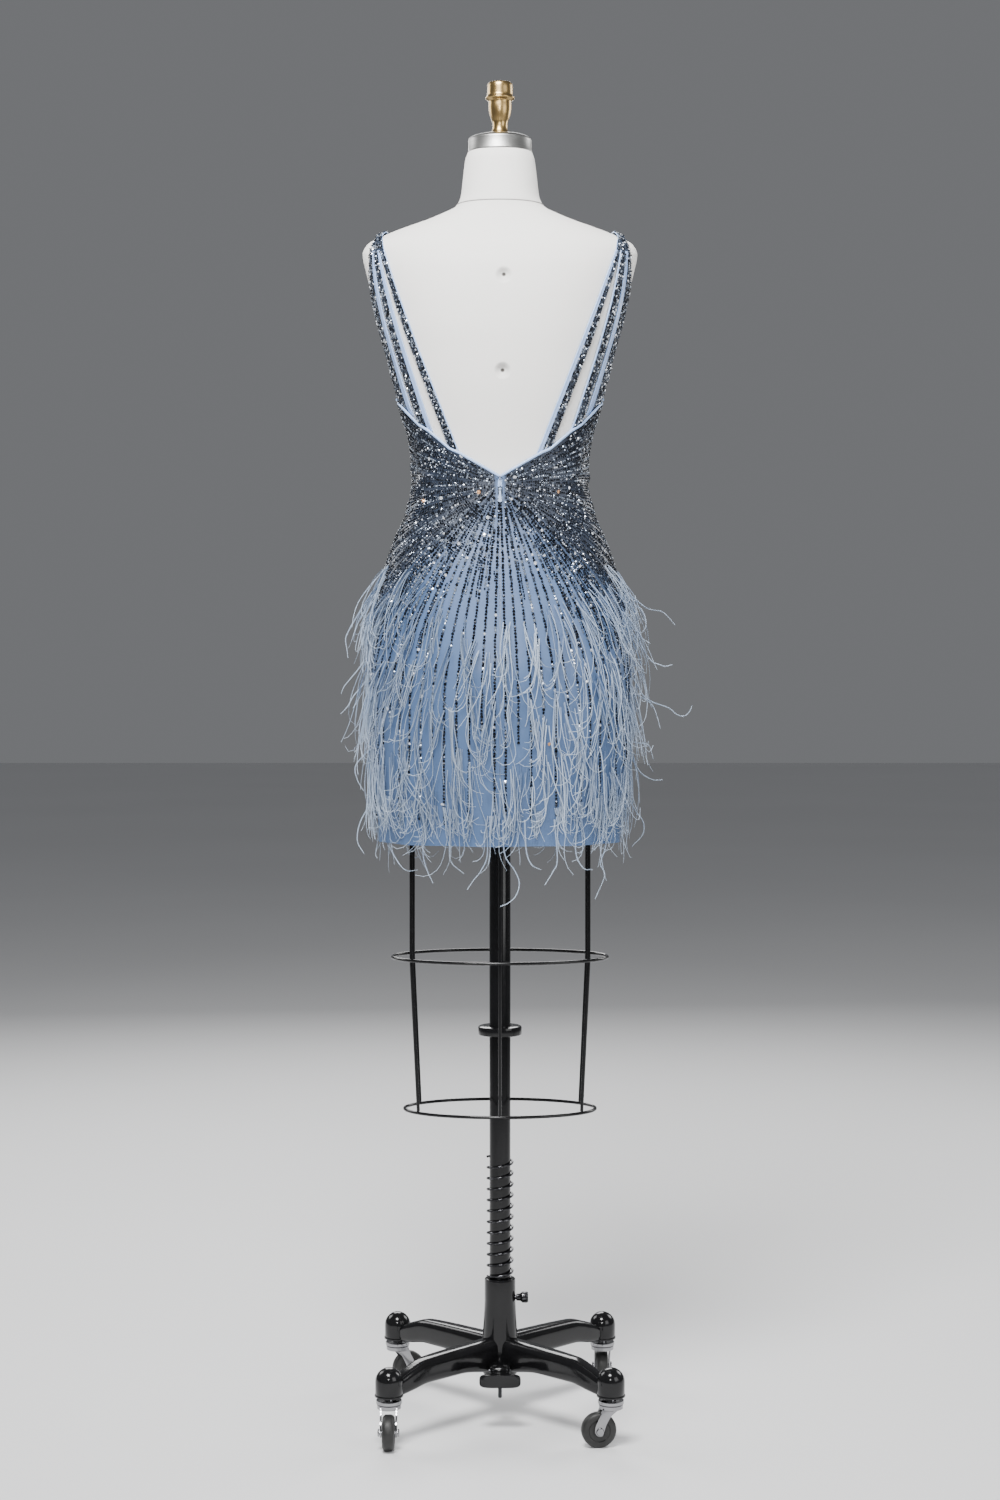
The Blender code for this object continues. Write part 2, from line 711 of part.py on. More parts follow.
def spring_piece(group):
    low = HUB_TOP + GAP + SPRING_WIRE
    high = SPRING_TOP - SPRING_WIRE
    count = SPRING_TURNS * SPRING_POINTS
    line = []
    for i in range(count + 1):
        turn = 2 * math.pi * i / SPRING_POINTS
        line.append(Vector((SPRING_MEAN * math.cos(turn), SPRING_MEAN * math.sin(turn),
                            low + (high - low) * i / count)))
    wire("pole_spring", line, SPRING_WIRE, "black_steel", group, roundness=0)


def arm_mesh(name):
    """One arm along +X as a loft of eight-sided sections from the hub to its dome."""
    reach = DOME_REACH * math.sqrt(2)
    corner = 0.35
    points = []
    for share, low, high, half in ARM:
        x = share * reach
        tall = (high - low) / 2
        middle = (high + low) / 2
        for y, z in ((1, 1 - corner), (1 - corner, 1), (corner - 1, 1), (-1, 1 - corner),
                     (-1, corner - 1), (corner - 1, -1), (1 - corner, -1), (1, corner - 1)):
            points.append((x, y * half, middle + z * tall))
    faces = [tuple(range(8)), tuple(range(len(points) - 8, len(points)))]
    for s in range(len(ARM) - 1):
        for k in range(8):
            j = (k + 1) % 8
            faces.append((8 * s + k, 8 * s + j, 8 * s + 8 + j, 8 * s + 8 + k))
    return closed_mesh(name, points, faces)


def base_pieces(group, tools):
    hub = turned("base_casting", ((0.0, HUB_TOP), (HUB_UPPER - 0.002, HUB_TOP), (HUB_UPPER, HUB_TOP - 0.002),
                                  (HUB_UPPER, HUB_TAPER[0]), (HUB_LOWER, HUB_TAPER[1]),
                                  (HUB_LOWER + 0.001, 0.062),
                                  (HUB_LOWER - 0.002, HUB_BOTTOM), (0.0, HUB_BOTTOM)), "black_gloss", group, 20)
    bore = cylinder("pole_bore", POLE + RUNNING, HUB_FLOOR, HUB_TOP + 0.02, None, tools, POLE_SIDES)
    for name, sx, sy, _ in CASTERS:
        turn = Matrix.Rotation(math.atan2(sy, sx), 3, "Z")
        arm = add_object("arm_" + name, arm_mesh("arm_" + name), None, tools, turn=turn)
        boolean(hub, as_tool(arm), "UNION")
    for name, sx, sy, _ in CASTERS:
        place = (sx * DOME_REACH, sy * DOME_REACH, 0.0)
        shoulder = DOME_TOP - DOME
        profile = [(0.0, DOME_TOP)]
        profile += [(DOME * math.sin(a), shoulder + DOME * math.cos(a))
                    for a in (math.radians(d) for d in (32, 62, 90))]
        profile += [(DOME, DOME_BOTTOM), (0.0, DOME_BOTTOM)]
        dome = turned("dome_" + name, profile, None, tools, 14, place)
        boolean(hub, as_tool(dome), "UNION")
    lug_y, lug_z = PEDAL_AXIS
    for sign in (-1, 1):
        ends = sorted((sign * 0.0095, sign * 0.0135))
        lug = block("pedal_lug", (ends[0], 0.015, lug_z - 0.0065), (ends[1], lug_y + 0.006, lug_z + 0.0065),
                    None, tools)
        boolean(hub, as_tool(lug), "UNION")
    boolean(hub, as_tool(bore), "DIFFERENCE")
    for name, sx, sy, _ in CASTERS:
        hole = cylinder("stem_hole", STEM + GAP, DOME_BOTTOM - 0.01, 0.0800, None, tools, 12,
                        (sx * DOME_REACH, sy * DOME_REACH, 0.0))
        boolean(hub, as_tool(hole), "DIFFERENCE")
    sideways = Matrix.Rotation(math.pi / 2, 3, "Y")
    pin_hole = cylinder("pedal_pin_hole", PEDAL_PIN + GAP, -0.02, 0.02, None, tools, 12, (0, lug_y, lug_z), sideways)
    boolean(hub, as_tool(pin_hole), "DIFFERENCE")
    screw_hole = cylinder("clamp_hole", 0.0034, -0.05, -0.010, None, tools, 12, (0, 0, CLAMP_HEIGHT), sideways)
    boolean(hub, as_tool(screw_hole), "DIFFERENCE")
    smooth(hub, 35.0)


def clamp_piece(group):
    """The thumb screw in the hub's -X side, with its tip just off the pole."""
    turn = Matrix.Rotation(-math.pi / 2, 3, "Y")
    tip = POLE + 0.0012
    screw = turned("clamp_screw", ((0.0, 0.0375), (0.0062, 0.0375), (0.0072, 0.0360), (0.0072, 0.0290),
                                   (0.0060, 0.0275), (0.0045, 0.0225), (0.0030, 0.0215), (0.0030, tip),
                                   (0.0, tip)), "black_steel", group, 12, (0, 0, CLAMP_HEIGHT), turn)
    smooth(screw, 35.0)


def pedal_pieces(group, tools):
    y, z = PEDAL_AXIS
    half_eye = 0.0091
    turn = Matrix.Rotation(math.pi / 2, 3, "Y")
    hole = PEDAL_PIN + GAP
    pedal = turned("foot_pedal", ((PEDAL_EYE, half_eye), (PEDAL_EYE, -half_eye), (hole, -half_eye), (hole, half_eye)),
                   "black_gloss", group, 16, (0, y, z), turn, ring=True)
    low = z - PEDAL_EYE
    wide = PEDAL_WIDTH / 2
    near = y + 0.0035
    outline = [(0.0085, near), (0.0085, y + 0.010), (wide - 0.006, y + 0.024), (wide, y + 0.030),
               (wide, PEDAL_END - 0.004), (wide - 0.004, PEDAL_END)]
    outline += [(-x, v) for x, v in reversed(outline)]
    count = len(outline)
    points = [(x, v, h) for h in (low, low + PEDAL_THICK) for x, v in outline]
    faces = [tuple(range(count)), tuple(range(count, 2 * count))]
    faces += [(k, (k + 1) % count, count + (k + 1) % count, count + k) for k in range(count)]
    plate = add_object("pedal_plate", closed_mesh("pedal_plate", points, faces), None, tools)
    boolean(pedal, as_tool(plate), "UNION")
    near, lip_low, lip_high = PEDAL_LIP
    edge = 0.005
    outline = ((-wide, lip_low + edge), (edge - wide, lip_low), (wide - edge, lip_low), (wide, lip_low + edge),
               (wide, lip_high - edge), (wide - edge, lip_high), (edge - wide, lip_high), (-wide, lip_high - edge))
    count = len(outline)
    points = [(x, v, h) for v in (near, PEDAL_END + GAP) for x, h in outline]
    faces = [tuple(range(count)), tuple(range(count, 2 * count))]
    faces += [(k, (k + 1) % count, count + (k + 1) % count, count + k) for k in range(count)]
    lip = add_object("pedal_lip", closed_mesh("pedal_lip", points, faces), None, tools)
    boolean(pedal, as_tool(lip), "UNION")
    bolt_y = y + 0.030
    bolt = turned("pedal_bolt", ((0.0, low - GAP), (0.0045, low - GAP), (0.0045, low - 0.0040),
                                 (0.0026, low - 0.0050), (0.0026, 0.0430), (0.0, 0.0420)),
                  "black_steel", group, 12, (0, bolt_y, 0))
    smooth(bolt, 35.0)
    smooth(pedal, 35.0)
    cylinder("pedal_pivot", PEDAL_PIN, -0.0150, 0.0150, "black_steel", group, 12, (0, y, z), turn)


def caster_pieces(group, tools):
    axle_z = WHEEL * math.cos(math.pi / WHEEL_SIDES)
    plate, plate_low, plate_high = FORK_PLATE
    leg_in, leg_out = FORK_LEG
    lying = Matrix.Rotation(math.pi / 2, 3, "X")
    for name, sx, sy, degrees in CASTERS:
        trail = Matrix.Rotation(math.radians(degrees), 3, "Z")
        place = Vector((sx * DOME_REACH, sy * DOME_REACH, 0.0))
        stem = turned("caster_stem_" + name,
                      ((0.0, 0.0790), (STEM, 0.0790), (STEM, DOME_BOTTOM - GAP), (0.0165, DOME_BOTTOM - GAP),
                       (0.0165, plate_high + GAP), (STEM, plate_high + GAP), (STEM, plate_low - GAP),
                       (0.0070, plate_low - GAP), (0.0070, plate_low - 0.0020), (0.0, plate_low - 0.0020)),
                      "chrome", group, 10, place)
        smooth(stem, 35.0)
        fork = turned("caster_fork_" + name,
                      ((STEM + GAP, plate_high), (plate, plate_high), (plate, plate_low), (STEM + GAP, plate_low)),
                      "chrome", group, 14, place, trail, ring=True)
        outline = ((-0.0085, plate_high - 0.0008), (0.0100, plate_high - 0.0008), (0.0205, 0.0330), (0.0225, axle_z),
                   (0.0195, 0.0175), (0.0160, 0.0160), (0.0125, 0.0175), (0.0080, 0.0300), (-0.0085, plate_low + 0.0008))
        count = len(outline)
        for sign in (-1, 1):
            points = [(x, sign * y, z) for y in (leg_in, leg_out) for x, z in outline]
            faces = [tuple(range(count)), tuple(range(count, 2 * count))]
            faces += [(k, (k + 1) % count, count + (k + 1) % count, count + k) for k in range(count)]
            leg = add_object("fork_leg", closed_mesh("fork_leg", points, faces), None, tools, place, trail)
            boolean(fork, as_tool(leg), "UNION")
        centre = place + trail @ Vector((TRAIL, 0.0, axle_z))
        hole = cylinder("axle_hole", AXLE + GAP, -0.03, 0.03, None, tools, 12, centre, trail @ lying)
        boolean(fork, as_tool(hole), "DIFFERENCE")
        smooth(fork, 35.0)
        head = leg_out + GAP
        axle = turned("caster_axle_" + name,
                      ((0.0, head + 0.0026), (0.0050, head + 0.0026), (0.0050, head), (AXLE, head),
                       (AXLE, -head), (0.0050, -head), (0.0050, -head - 0.0026), (0.0, -head - 0.0026)),
                      "chrome", group, 10, centre, trail @ lying)
        smooth(axle, 35.0)
        half = WHEEL_HALF
        bore = AXLE + GAP
        level = Matrix.Rotation(math.pi / WHEEL_SIDES, 3, "Z")
        wheel = turned("caster_wheel_" + name,
                       ((bore, half), (0.0080, half), (WHEEL - 0.0030, half - 0.0010), (WHEEL, half - 0.0035),
                        (WHEEL, 0.0035 - half), (WHEEL - 0.0030, 0.0010 - half), (0.0080, -half), (bore, -half)),
                       "rubber", group, WHEEL_SIDES, centre, trail @ lying @ level, ring=True)
        smooth(wheel, 35.0)


def main():
    clear_scene()
    group = collection("homecoming_dress_on_form")
    tools = collection("cutters")
    chance = random.Random(SEED)
    quarter = math.pi / 2
    front_edge = panel("front", -2 * quarter, 0.0, FRONT_NECK, group)
    back_edges = {1: panel("back_left", 0.0, quarter, BACK_NECK, group),
                  -1: panel("back_right", quarter, 2 * quarter, BACK_NECK, group)}
    surface = bmesh.new()
    surface.from_mesh(form_mesh("figure_surface"))
    tree = BVHTree.FromBMesh(surface)
    surface.free()
    for side in (1, -1):
        for row in STRAPS:
            back_strap(side, row, back_edges[side], group)
        shoulder_strap(side, front_edge, tree, group)
    for number, row in enumerate(TIERS, 1):
        feather_tier(number, *row, chance, group)
    zip_pieces(group, tools)
    form_pieces(group, tools)
    mast_pieces(group)
    cage_pieces(group)
    spring_piece(group)
    base_pieces(group, tools)
    clamp_piece(group)
    pedal_pieces(group, tools)
    caster_pieces(group, tools)


main()
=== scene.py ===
"""Homecoming dress on its wheeled dress form: cloth, beads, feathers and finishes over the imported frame."""
import math

import bmesh
import bpy
import numpy as np
from mathutils import Matrix, Vector
from mathutils.bvhtree import BVHTree


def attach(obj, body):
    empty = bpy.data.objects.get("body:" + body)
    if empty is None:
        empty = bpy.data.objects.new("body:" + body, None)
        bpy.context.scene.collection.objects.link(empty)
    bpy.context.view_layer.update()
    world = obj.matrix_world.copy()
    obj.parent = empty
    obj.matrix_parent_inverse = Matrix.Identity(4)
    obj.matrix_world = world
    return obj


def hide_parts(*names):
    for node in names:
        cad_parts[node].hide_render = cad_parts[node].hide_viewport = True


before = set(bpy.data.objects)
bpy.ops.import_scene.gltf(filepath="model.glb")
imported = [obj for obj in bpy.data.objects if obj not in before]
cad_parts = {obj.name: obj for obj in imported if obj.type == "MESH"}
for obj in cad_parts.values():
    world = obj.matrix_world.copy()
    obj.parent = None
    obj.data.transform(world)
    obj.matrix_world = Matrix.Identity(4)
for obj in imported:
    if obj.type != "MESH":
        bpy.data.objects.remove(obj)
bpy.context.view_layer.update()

# The figure that the form and the cloth follow: height, side, front and back in metres
FIGURE = np.array((
    (0.760, 0.152, 0.103, 0.107), (0.850, 0.162, 0.106, 0.116), (0.920, 0.167, 0.107, 0.122),
    (0.980, 0.169, 0.106, 0.123), (1.040, 0.166, 0.104, 0.117), (1.090, 0.159, 0.102, 0.107),
    (1.128, 0.150, 0.099, 0.098), (1.165, 0.137, 0.094, 0.088), (1.200, 0.122, 0.089, 0.080),
    (1.235, 0.114, 0.086, 0.076), (1.265, 0.1145, 0.088, 0.077), (1.300, 0.119, 0.095, 0.081),
    (1.333, 0.129, 0.104, 0.086), (1.370, 0.139, 0.111, 0.091), (1.405, 0.147, 0.110, 0.094),
    (1.443, 0.158, 0.100, 0.096), (1.480, 0.167, 0.087, 0.095), (1.520, 0.178, 0.073, 0.090),
    (1.546, 0.183, 0.062, 0.081), (1.558, 0.177, 0.058, 0.075), (1.570, 0.154, 0.054, 0.069),
    (1.580, 0.128, 0.052, 0.064), (1.589, 0.102, 0.050, 0.060), (1.598, 0.080, 0.049, 0.056),
    (1.608, 0.060, 0.048, 0.053), (1.622, 0.0525, 0.0475, 0.0505), (1.650, 0.049, 0.0465, 0.0475),
    (1.672, 0.0462, 0.0452, 0.0456), (1.681, 0.0434, 0.0434, 0.0434)))
ROUNDNESS = 0.93
BUST_HEIGHT = 1.372
BUST_APART = 0.066
BUST_DEPTH = 0.017
BUST_SIZE = 0.054
FORM_BUST = 0.75
FORM_BOTTOM = 0.800
FORM_TOP = 1.681
NECK_SEAM = 1.6110
PINS = ((-0.0050, 1.5065), (-0.0033, 1.3820))

# Cloth
CLOTH = 0.0015
CLOTH_OUT = 0.0018
HEM = 0.765
HEM_WAVES = 9
HEM_WAVE = 0.0035
HEM_WAVE_TOP = 0.960
SEAM_ANGLE = 0.0010
BACK_NECK = np.array(((0.0, 1.2465), (0.053, 1.278), (0.064, 1.283), (0.092, 1.308), (0.104, 1.316),
                      (0.120, 1.333), (0.136, 1.352)))
FRONT_NECK = np.array(((0.0, 1.332), (0.030, 1.358), (0.060, 1.388), (0.090, 1.412), (0.104, 1.416),
                       (0.116, 1.398), (0.130, 1.366), (0.136, 1.352)))
PANELS = (("front", -math.pi, 0.0, FRONT_NECK, 104), ("back_left", 0.0, math.pi / 2, BACK_NECK, 56),
          ("back_right", math.pi / 2, math.pi, BACK_NECK, 56))
PANEL_ROWS = 116
# Creases: arc from the centre back (minus is the wearer's right), height, lean in degrees, half length,
# half width and rise in metres; past the side seam they lie on the front
CREASES = (
    (-0.118, 1.236, -24, 0.040, 0.0050, 0.0026), (-0.128, 1.222, -33, 0.038, 0.0045, 0.0030),
    (-0.112, 1.210, -41, 0.034, 0.0050, 0.0022), (-0.146, 1.249, -14, 0.030, 0.0045, 0.0022),
    (0.121, 1.238, 22, 0.036, 0.0050, 0.0022), (0.130, 1.222, 31, 0.034, 0.0045, 0.0025),
    (0.116, 1.207, 40, 0.030, 0.0050, 0.0018), (0.040, 1.226, 12, 0.026, 0.0045, 0.0012),
    (-0.045, 1.222, -15, 0.026, 0.0045, 0.0014), (0.150, 1.262, 8, 0.024, 0.0050, 0.0016),
    (0.226, 1.226, -16, 0.036, 0.0050, 0.0022), (0.246, 1.243, -8, 0.034, 0.0050, 0.0018),
    (0.262, 1.208, -24, 0.030, 0.0050, 0.0018), (-0.228, 1.230, 14, 0.036, 0.0050, 0.0022),
    (-0.250, 1.212, 22, 0.034, 0.0050, 0.0018), (-0.240, 1.252, 6, 0.030, 0.0050, 0.0016),
    (-0.105, 0.865, -82, 0.060, 0.0080, 0.0022), (0.072, 0.855, 84, 0.058, 0.0080, 0.0020),
    (0.158, 0.900, 78, 0.062, 0.0090, 0.0024), (-0.188, 0.880, -80, 0.058, 0.0090, 0.0022),
    (0.290, 0.870, 86, 0.060, 0.0090, 0.0022), (-0.300, 0.890, -86, 0.060, 0.0090, 0.0022))

# Straps: foot and top of the two edges, bow, and the satin that shows beside the left and the right strap
SPLIT = 1.5440
STRAPS = (("inner", 0.0535, 0.0630, 0.1510, 0.1570, 0.003, 0.0010, 0.0052),
          ("middle", 0.0935, 0.1030, 0.1576, 0.1636, 0.006, 0.0052, 0.0014),
          ("outer", 0.1180, 0.1290, 0.1642, 0.1702, 0.009, 0.0050, 0.0052))
LOOP = ((0.1600, 0.0330, 1.5640), (0.1590, 0.0120, 1.5800), (0.1570, -0.0120, 1.5820),
        (0.1520, -0.0380, 1.5700), (0.1420, -0.0640, 1.5360), (0.1300, -0.0920, 1.4900),
        (0.1130, -0.1200, 1.4450))
LOOP_WIDTH = 0.0100
LOOP_OUT = 0.0027
SPLIT_OUT = 0.0021
LOOP_FOOT = (0.0985, 0.1095)
PIPING = 0.0011
# Width of a strap's beaded band, without its satin edge
BEADED_BAND = 0.0096
STRAP_BEAD = 0.0015
STRAP_BEAD_STEP = 0.0030
STRAP_BEADS_APART = 0.0025

# Zip above its slider: heights of the placket's lips, and the teeth of the coil
ZIP_LIPS = (1.2120, 1.2420)
TOOTH_LOWEST = 1.2335
TOOTH_STEP = 0.0011
TEETH = 9

# Beading: rays fan out from the foot of the V and bend into columns on the skirt
APEX = 1.2350
RAY_FOOT = 0.950
RAY_BEND = 1.6
BEAD = 0.00135
COLUMN_BEAD = 0.00200
COLUMN_STEP_DOWN = 0.0041
BEAD_STEP = 0.0029
FAN_REACH = 0.230
FAN_RAYS = 190
FAN_STOP = 1.02
COLUMN_FIRST = 0.0070
COLUMN_STEP = 0.0160
COLUMNS = 14
# Bounds of a row: its length, height and arc
ROW_LONGEST = 0.62
ROW_HIGHEST = 1.43
ROW_WIDEST = 0.30
# Lower end of the dense beading: least height, height at the centre back, fall for each metre of arc
DENSE_LEAST = 1.098
DENSE_CENTRE = 1.212
DENSE_FALL = 0.86
# Plain satin left beside the zip, the side seams and the bindings
ZIP_STRIP = 0.0042
ZIP_CLEAR = 0.0062
SEAM_CLEAR = 0.0022
EDGE_CLEAR = 0.0046
BEAD_SEAT = 0.0013
# Largest shade numbers of a bead that isn't painted with a warm flash, and of a whole row
COOLEST = 0.9955
BRIGHTEST_ROW = 0.94
# The satin darkens from this far below the dense beading, over this height, to this share
GROUND_BELOW = 0.050
GROUND_FADE = 0.078
GROUND_DARK = 0.93
STONE = 0.0025

# Single larger stones on the back, coloured as painted glints: across, height and warmth of the painted flash
STONES = ((-0.0188, 1.2437, 0), (0.0207, 1.1666, 0), (0.0525, 1.1555, 0), (0.0156, 1.1900, 0),
          (-0.0992, 1.2976, 0), (-0.0623, 0.8980, 1), (0.0726, 0.8200, 0), (0.0986, 0.9590, 0),
          (0.0970, 1.2134, 1), (-0.0742, 1.2253, 1), (0.0747, 1.2164, 0), (0.0271, 1.2238, 1),
          (-0.0877, 1.2313, 0), (0.1423, 0.9423, 0), (-0.1100, 0.9780, 0), (-0.0450, 1.1300, 0),
          (0.0900, 1.2700, 0), (-0.1180, 1.1700, 0))

# Feathers: side height, centre height, length, flare
TIERS = ((1.128, 1.052, 0.145, 0.036), (1.020, 0.972, 0.150, 0.034), (0.920, 0.885, 0.150, 0.028),
         (0.828, 0.806, 0.130, 0.014))
LOCKS = 76
BARBS = 6 * LOCKS
BARB_PARTS = 12
BARB = 0.00080
HAIR = 0.0026
LOOSE_HAIR = 0.0030
# Single barbs that stand clear of the rest, each as across and height in metres, root first
SIDE_STRAYS = (
    ((-0.150, 1.112), (-0.172, 1.094), (-0.189, 1.079), (-0.200, 1.073), (-0.217, 1.069), (-0.233, 1.052)),
    ((-0.158, 1.072), (-0.181, 1.046), (-0.189, 1.023), (-0.202, 1.004), (-0.211, 1.000), (-0.220, 0.997),
     (-0.229, 0.999)),
    ((-0.160, 1.005), (-0.181, 0.976), (-0.190, 0.959), (-0.202, 0.950), (-0.213, 0.946), (-0.226, 0.941),
     (-0.235, 0.933), (-0.245, 0.931), (-0.252, 0.937), (-0.255, 0.944)),
    ((-0.160, 1.090), (-0.181, 1.078), (-0.189, 1.072), (-0.194, 1.060), (-0.194, 1.049), (-0.189, 1.042)),
    ((-0.163, 1.060), (-0.185, 1.042), (-0.190, 1.034), (-0.200, 1.028)),
    ((-0.165, 0.970), (-0.190, 0.955), (-0.203, 0.945), (-0.209, 0.930), (-0.213, 0.915)),
    ((-0.160, 0.930), (-0.166, 0.909), (-0.179, 0.896), (-0.192, 0.894), (-0.200, 0.890), (-0.205, 0.873)),
    ((-0.158, 0.905), (-0.174, 0.877), (-0.188, 0.855), (-0.204, 0.846), (-0.215, 0.846)),
    ((-0.158, 0.850), (-0.180, 0.806), (-0.191, 0.790), (-0.191, 0.773), (-0.177, 0.757)),
    ((0.150, 1.110), (0.173, 1.091), (0.193, 1.060), (0.202, 1.044), (0.206, 1.033), (0.204, 1.019),
     (0.203, 1.009)),
    ((0.158, 1.050), (0.180, 1.007), (0.190, 0.992), (0.200, 0.980), (0.208, 0.970), (0.212, 0.961)),
    ((0.160, 1.010), (0.181, 0.975), (0.195, 0.958), (0.203, 0.944), (0.212, 0.934)),
    ((0.158, 0.900), (0.180, 0.880), (0.193, 0.863), (0.190, 0.845), (0.182, 0.831)),
    ((0.156, 0.860), (0.170, 0.820), (0.186, 0.790), (0.190, 0.765), (0.181, 0.748)))
HEM_STRAYS = (
    ((-0.004, 0.800), (-0.006, 0.756), (-0.019, 0.735), (-0.025, 0.719), (-0.021, 0.703), (-0.011, 0.693),
     (-0.001, 0.689)),
    ((0.018, 0.800), (0.016, 0.756), (0.024, 0.735), (0.034, 0.722), (0.042, 0.710)),
    ((-0.070, 0.800), (-0.074, 0.748), (-0.068, 0.732), (-0.058, 0.716)),
    ((-0.132, 0.800), (-0.139, 0.766), (-0.131, 0.740), (-0.137, 0.724), (-0.124, 0.695)),
    ((0.150, 0.800), (0.152, 0.772), (0.136, 0.745), (0.123, 0.732), (0.108, 0.733)),
    ((0.064, 0.800), (0.065, 0.766), (0.063, 0.745), (0.047, 0.731)),
    ((-0.032, 0.800), (-0.034, 0.760), (-0.041, 0.742), (-0.052, 0.736)),
    ((0.098, 0.800), (0.100, 0.755), (0.094, 0.732), (0.087, 0.718)),
    ((-0.100, 0.800), (-0.098, 0.757), (-0.108, 0.736), (-0.120, 0.733)))

# Stand
POLE = 0.0140
WIRE = 0.0022
RINGS = (("cage_ring_upper", 0.610, 0.143, 0.082), ("cage_ring_lower", 0.408, 0.127, 0.072))
CAGE_WIRES = (32.0, 90.0, 148.0, 212.0, 270.0, 328.0)
GAP = 0.0003
SPRING = (0.0166, 0.0016, 11, 0.1839, 0.3434)
DOME_REACH = 0.142
DOME = 0.0178
DOME_TOP = 0.101
DOME_BOTTOM = 0.0643
DOME_LIP = (0.0644, 0.0656, 0.0668)
HUB_TOP = 0.182
HUB_FLOOR = 0.060
# Sections of an arm: share of the reach, low, high, half width
ARM = np.array(((0.085, 0.062, 0.105, 0.0150), (0.40, 0.070, 0.104, 0.0140), (0.68, 0.070, 0.102, 0.0125),
                (0.84, 0.065, 0.093, 0.0115), (0.97, 0.062, 0.084, 0.0100)))
CASTERS = (("rear_left", 1, -1, 205.0), ("rear_right", -1, -1, 270.0), ("front_left", 1, 1, 90.0),
           ("front_right", -1, 1, 8.0))
# Parts of a caster: piece, CAD node, body and slot
CASTER_PARTS = (("chrome_stem", "caster_stem", "base", "chrome"),
                ("chrome_fork", "caster_fork", "caster_{}", "chrome"),
                ("chrome_axle", "caster_axle", "caster_{}", "chrome"),
                ("rubber_wheel", "caster_wheel", "wheel_{}", "rubber"))
WHEEL = 0.0225
WHEEL_HALF = 0.0082
AXLE_HEIGHT = 0.022223
TRAIL = 0.016
PEDAL_AXIS = (0.0405, 0.0690)
PEDAL_LOW = PEDAL_AXIS[1] - 0.0055
PEDAL_LIP = (0.0765, 0.0575, 0.0750)
CLAMP_HEIGHT = 0.156


# Figure

def table_value(table, column, z):
    """Smooth value of a table column at some heights, without overshoot between its rows."""
    z = np.asarray(z, float)
    heights = table[:, 0]
    values = table[:, column]
    rises = np.diff(values) / np.diff(heights)
    slopes = np.zeros(len(heights))
    both = rises[:-1] * rises[1:]
    total = np.where(np.abs(rises[:-1] + rises[1:]) < 1e-12, 1.0, rises[:-1] + rises[1:])
    slopes[1:-1] = np.where(both > 0, 2 * both / total, 0.0)
    i = np.clip(np.searchsorted(heights, z, side="right") - 1, 0, len(heights) - 2)
    span = heights[i + 1] - heights[i]
    t = np.clip((z - heights[i]) / span, 0.0, 1.0)
    return (values[i] * (1 + 2 * t) * (1 - t) ** 2 + values[i + 1] * t * t * (3 - 2 * t)
            + span * (slopes[i] * t * (1 - t) ** 2 - slopes[i + 1] * t * t * (1 - t)))


def rounded(wave, power):
    """A sine or cosine drawn towards a square, which gives a section its rounded corners."""
    return np.sign(wave) * np.abs(wave) ** power


def figure_point(z, angle, fullness=1.0):
    """Points of the figure; the fullness is the share of the bust that shows."""
    z, angle = np.broadcast_arrays(np.asarray(z, float), np.asarray(angle, float))
    c = np.cos(angle)
    s = np.sin(angle)
    depth = np.where(s > 0, table_value(FIGURE, 3, z), table_value(FIGURE, 2, z))
    x = table_value(FIGURE, 1, z) * rounded(c, ROUNDNESS)
    y = depth * rounded(s, ROUNDNESS)
    away = (np.abs(x) - BUST_APART) / BUST_SIZE
    up = (z - BUST_HEIGHT) / BUST_SIZE
    y = y - np.where(s < 0, fullness * BUST_DEPTH * np.minimum(1.0, -2 * s)
                     * np.exp(-away * away - up * up), 0.0)
    return np.stack((x, y, z), axis=-1)


def unit(v):
    return v / np.maximum(np.linalg.norm(v, axis=-1, keepdims=True), 1e-12)


def outward(z, angle):
    """The figure's outward normal."""
    run = figure_point(z, angle + 0.02) - figure_point(z, angle - 0.02)
    rise = figure_point(z + 0.004, angle) - figure_point(z - 0.004, angle)
    return unit(np.cross(run, rise))


def skin(z, angle, out):
    """Points of the figure at some heights and angles, moved out along the normal."""
    return figure_point(z, angle) + outward(z, angle) * np.asarray(out)[..., None]


def angle_at(z, x, back=True):
    """Angle on the figure's back or front at a height and a place across."""
    share = np.minimum(0.995, np.abs(x) / table_value(FIGURE, 1, z)) ** (1 / ROUNDNESS)
    angle = np.arccos(share)
    angle = np.where(np.asarray(x) < 0, math.pi - angle, angle)
    return angle if back else -angle


def arc_table():
    """Length round the figure from its centre back, one row a height and one column a step of angle."""
    heights = np.linspace(0.660, 1.440, 79)
    turns = np.linspace(0.0, math.pi, 181)
    points = figure_point(heights[:, None], math.pi / 2 - turns[None, :])
    steps = np.linalg.norm(np.diff(points, axis=1), axis=-1)
    arcs = np.concatenate((np.zeros((len(heights), 1)), np.cumsum(steps, axis=1)), axis=1)
    return heights, turns, arcs


ARC_HEIGHTS, ARC_TURNS, ARCS = arc_table()
# Column of the arc table at the side seam
SEAM_COLUMN = 90


def arc_place(z):
    """Row of the arc table below some heights, and the share of the way to the next one."""
    place = np.clip((z - ARC_HEIGHTS[0]) / (ARC_HEIGHTS[1] - ARC_HEIGHTS[0]), 0, len(ARC_HEIGHTS) - 1.001)
    row = place.astype(int)
    return row, place - row


def angle_from_back(z, arc):
    """Angle on the figure at an arc from the centre back; a minus arc goes to the wearer's right."""
    row, share = arc_place(z)
    turn = np.interp(abs(arc), ARCS[row] * (1 - share) + ARCS[row + 1] * share, ARC_TURNS)
    return math.pi / 2 - math.copysign(turn, arc)


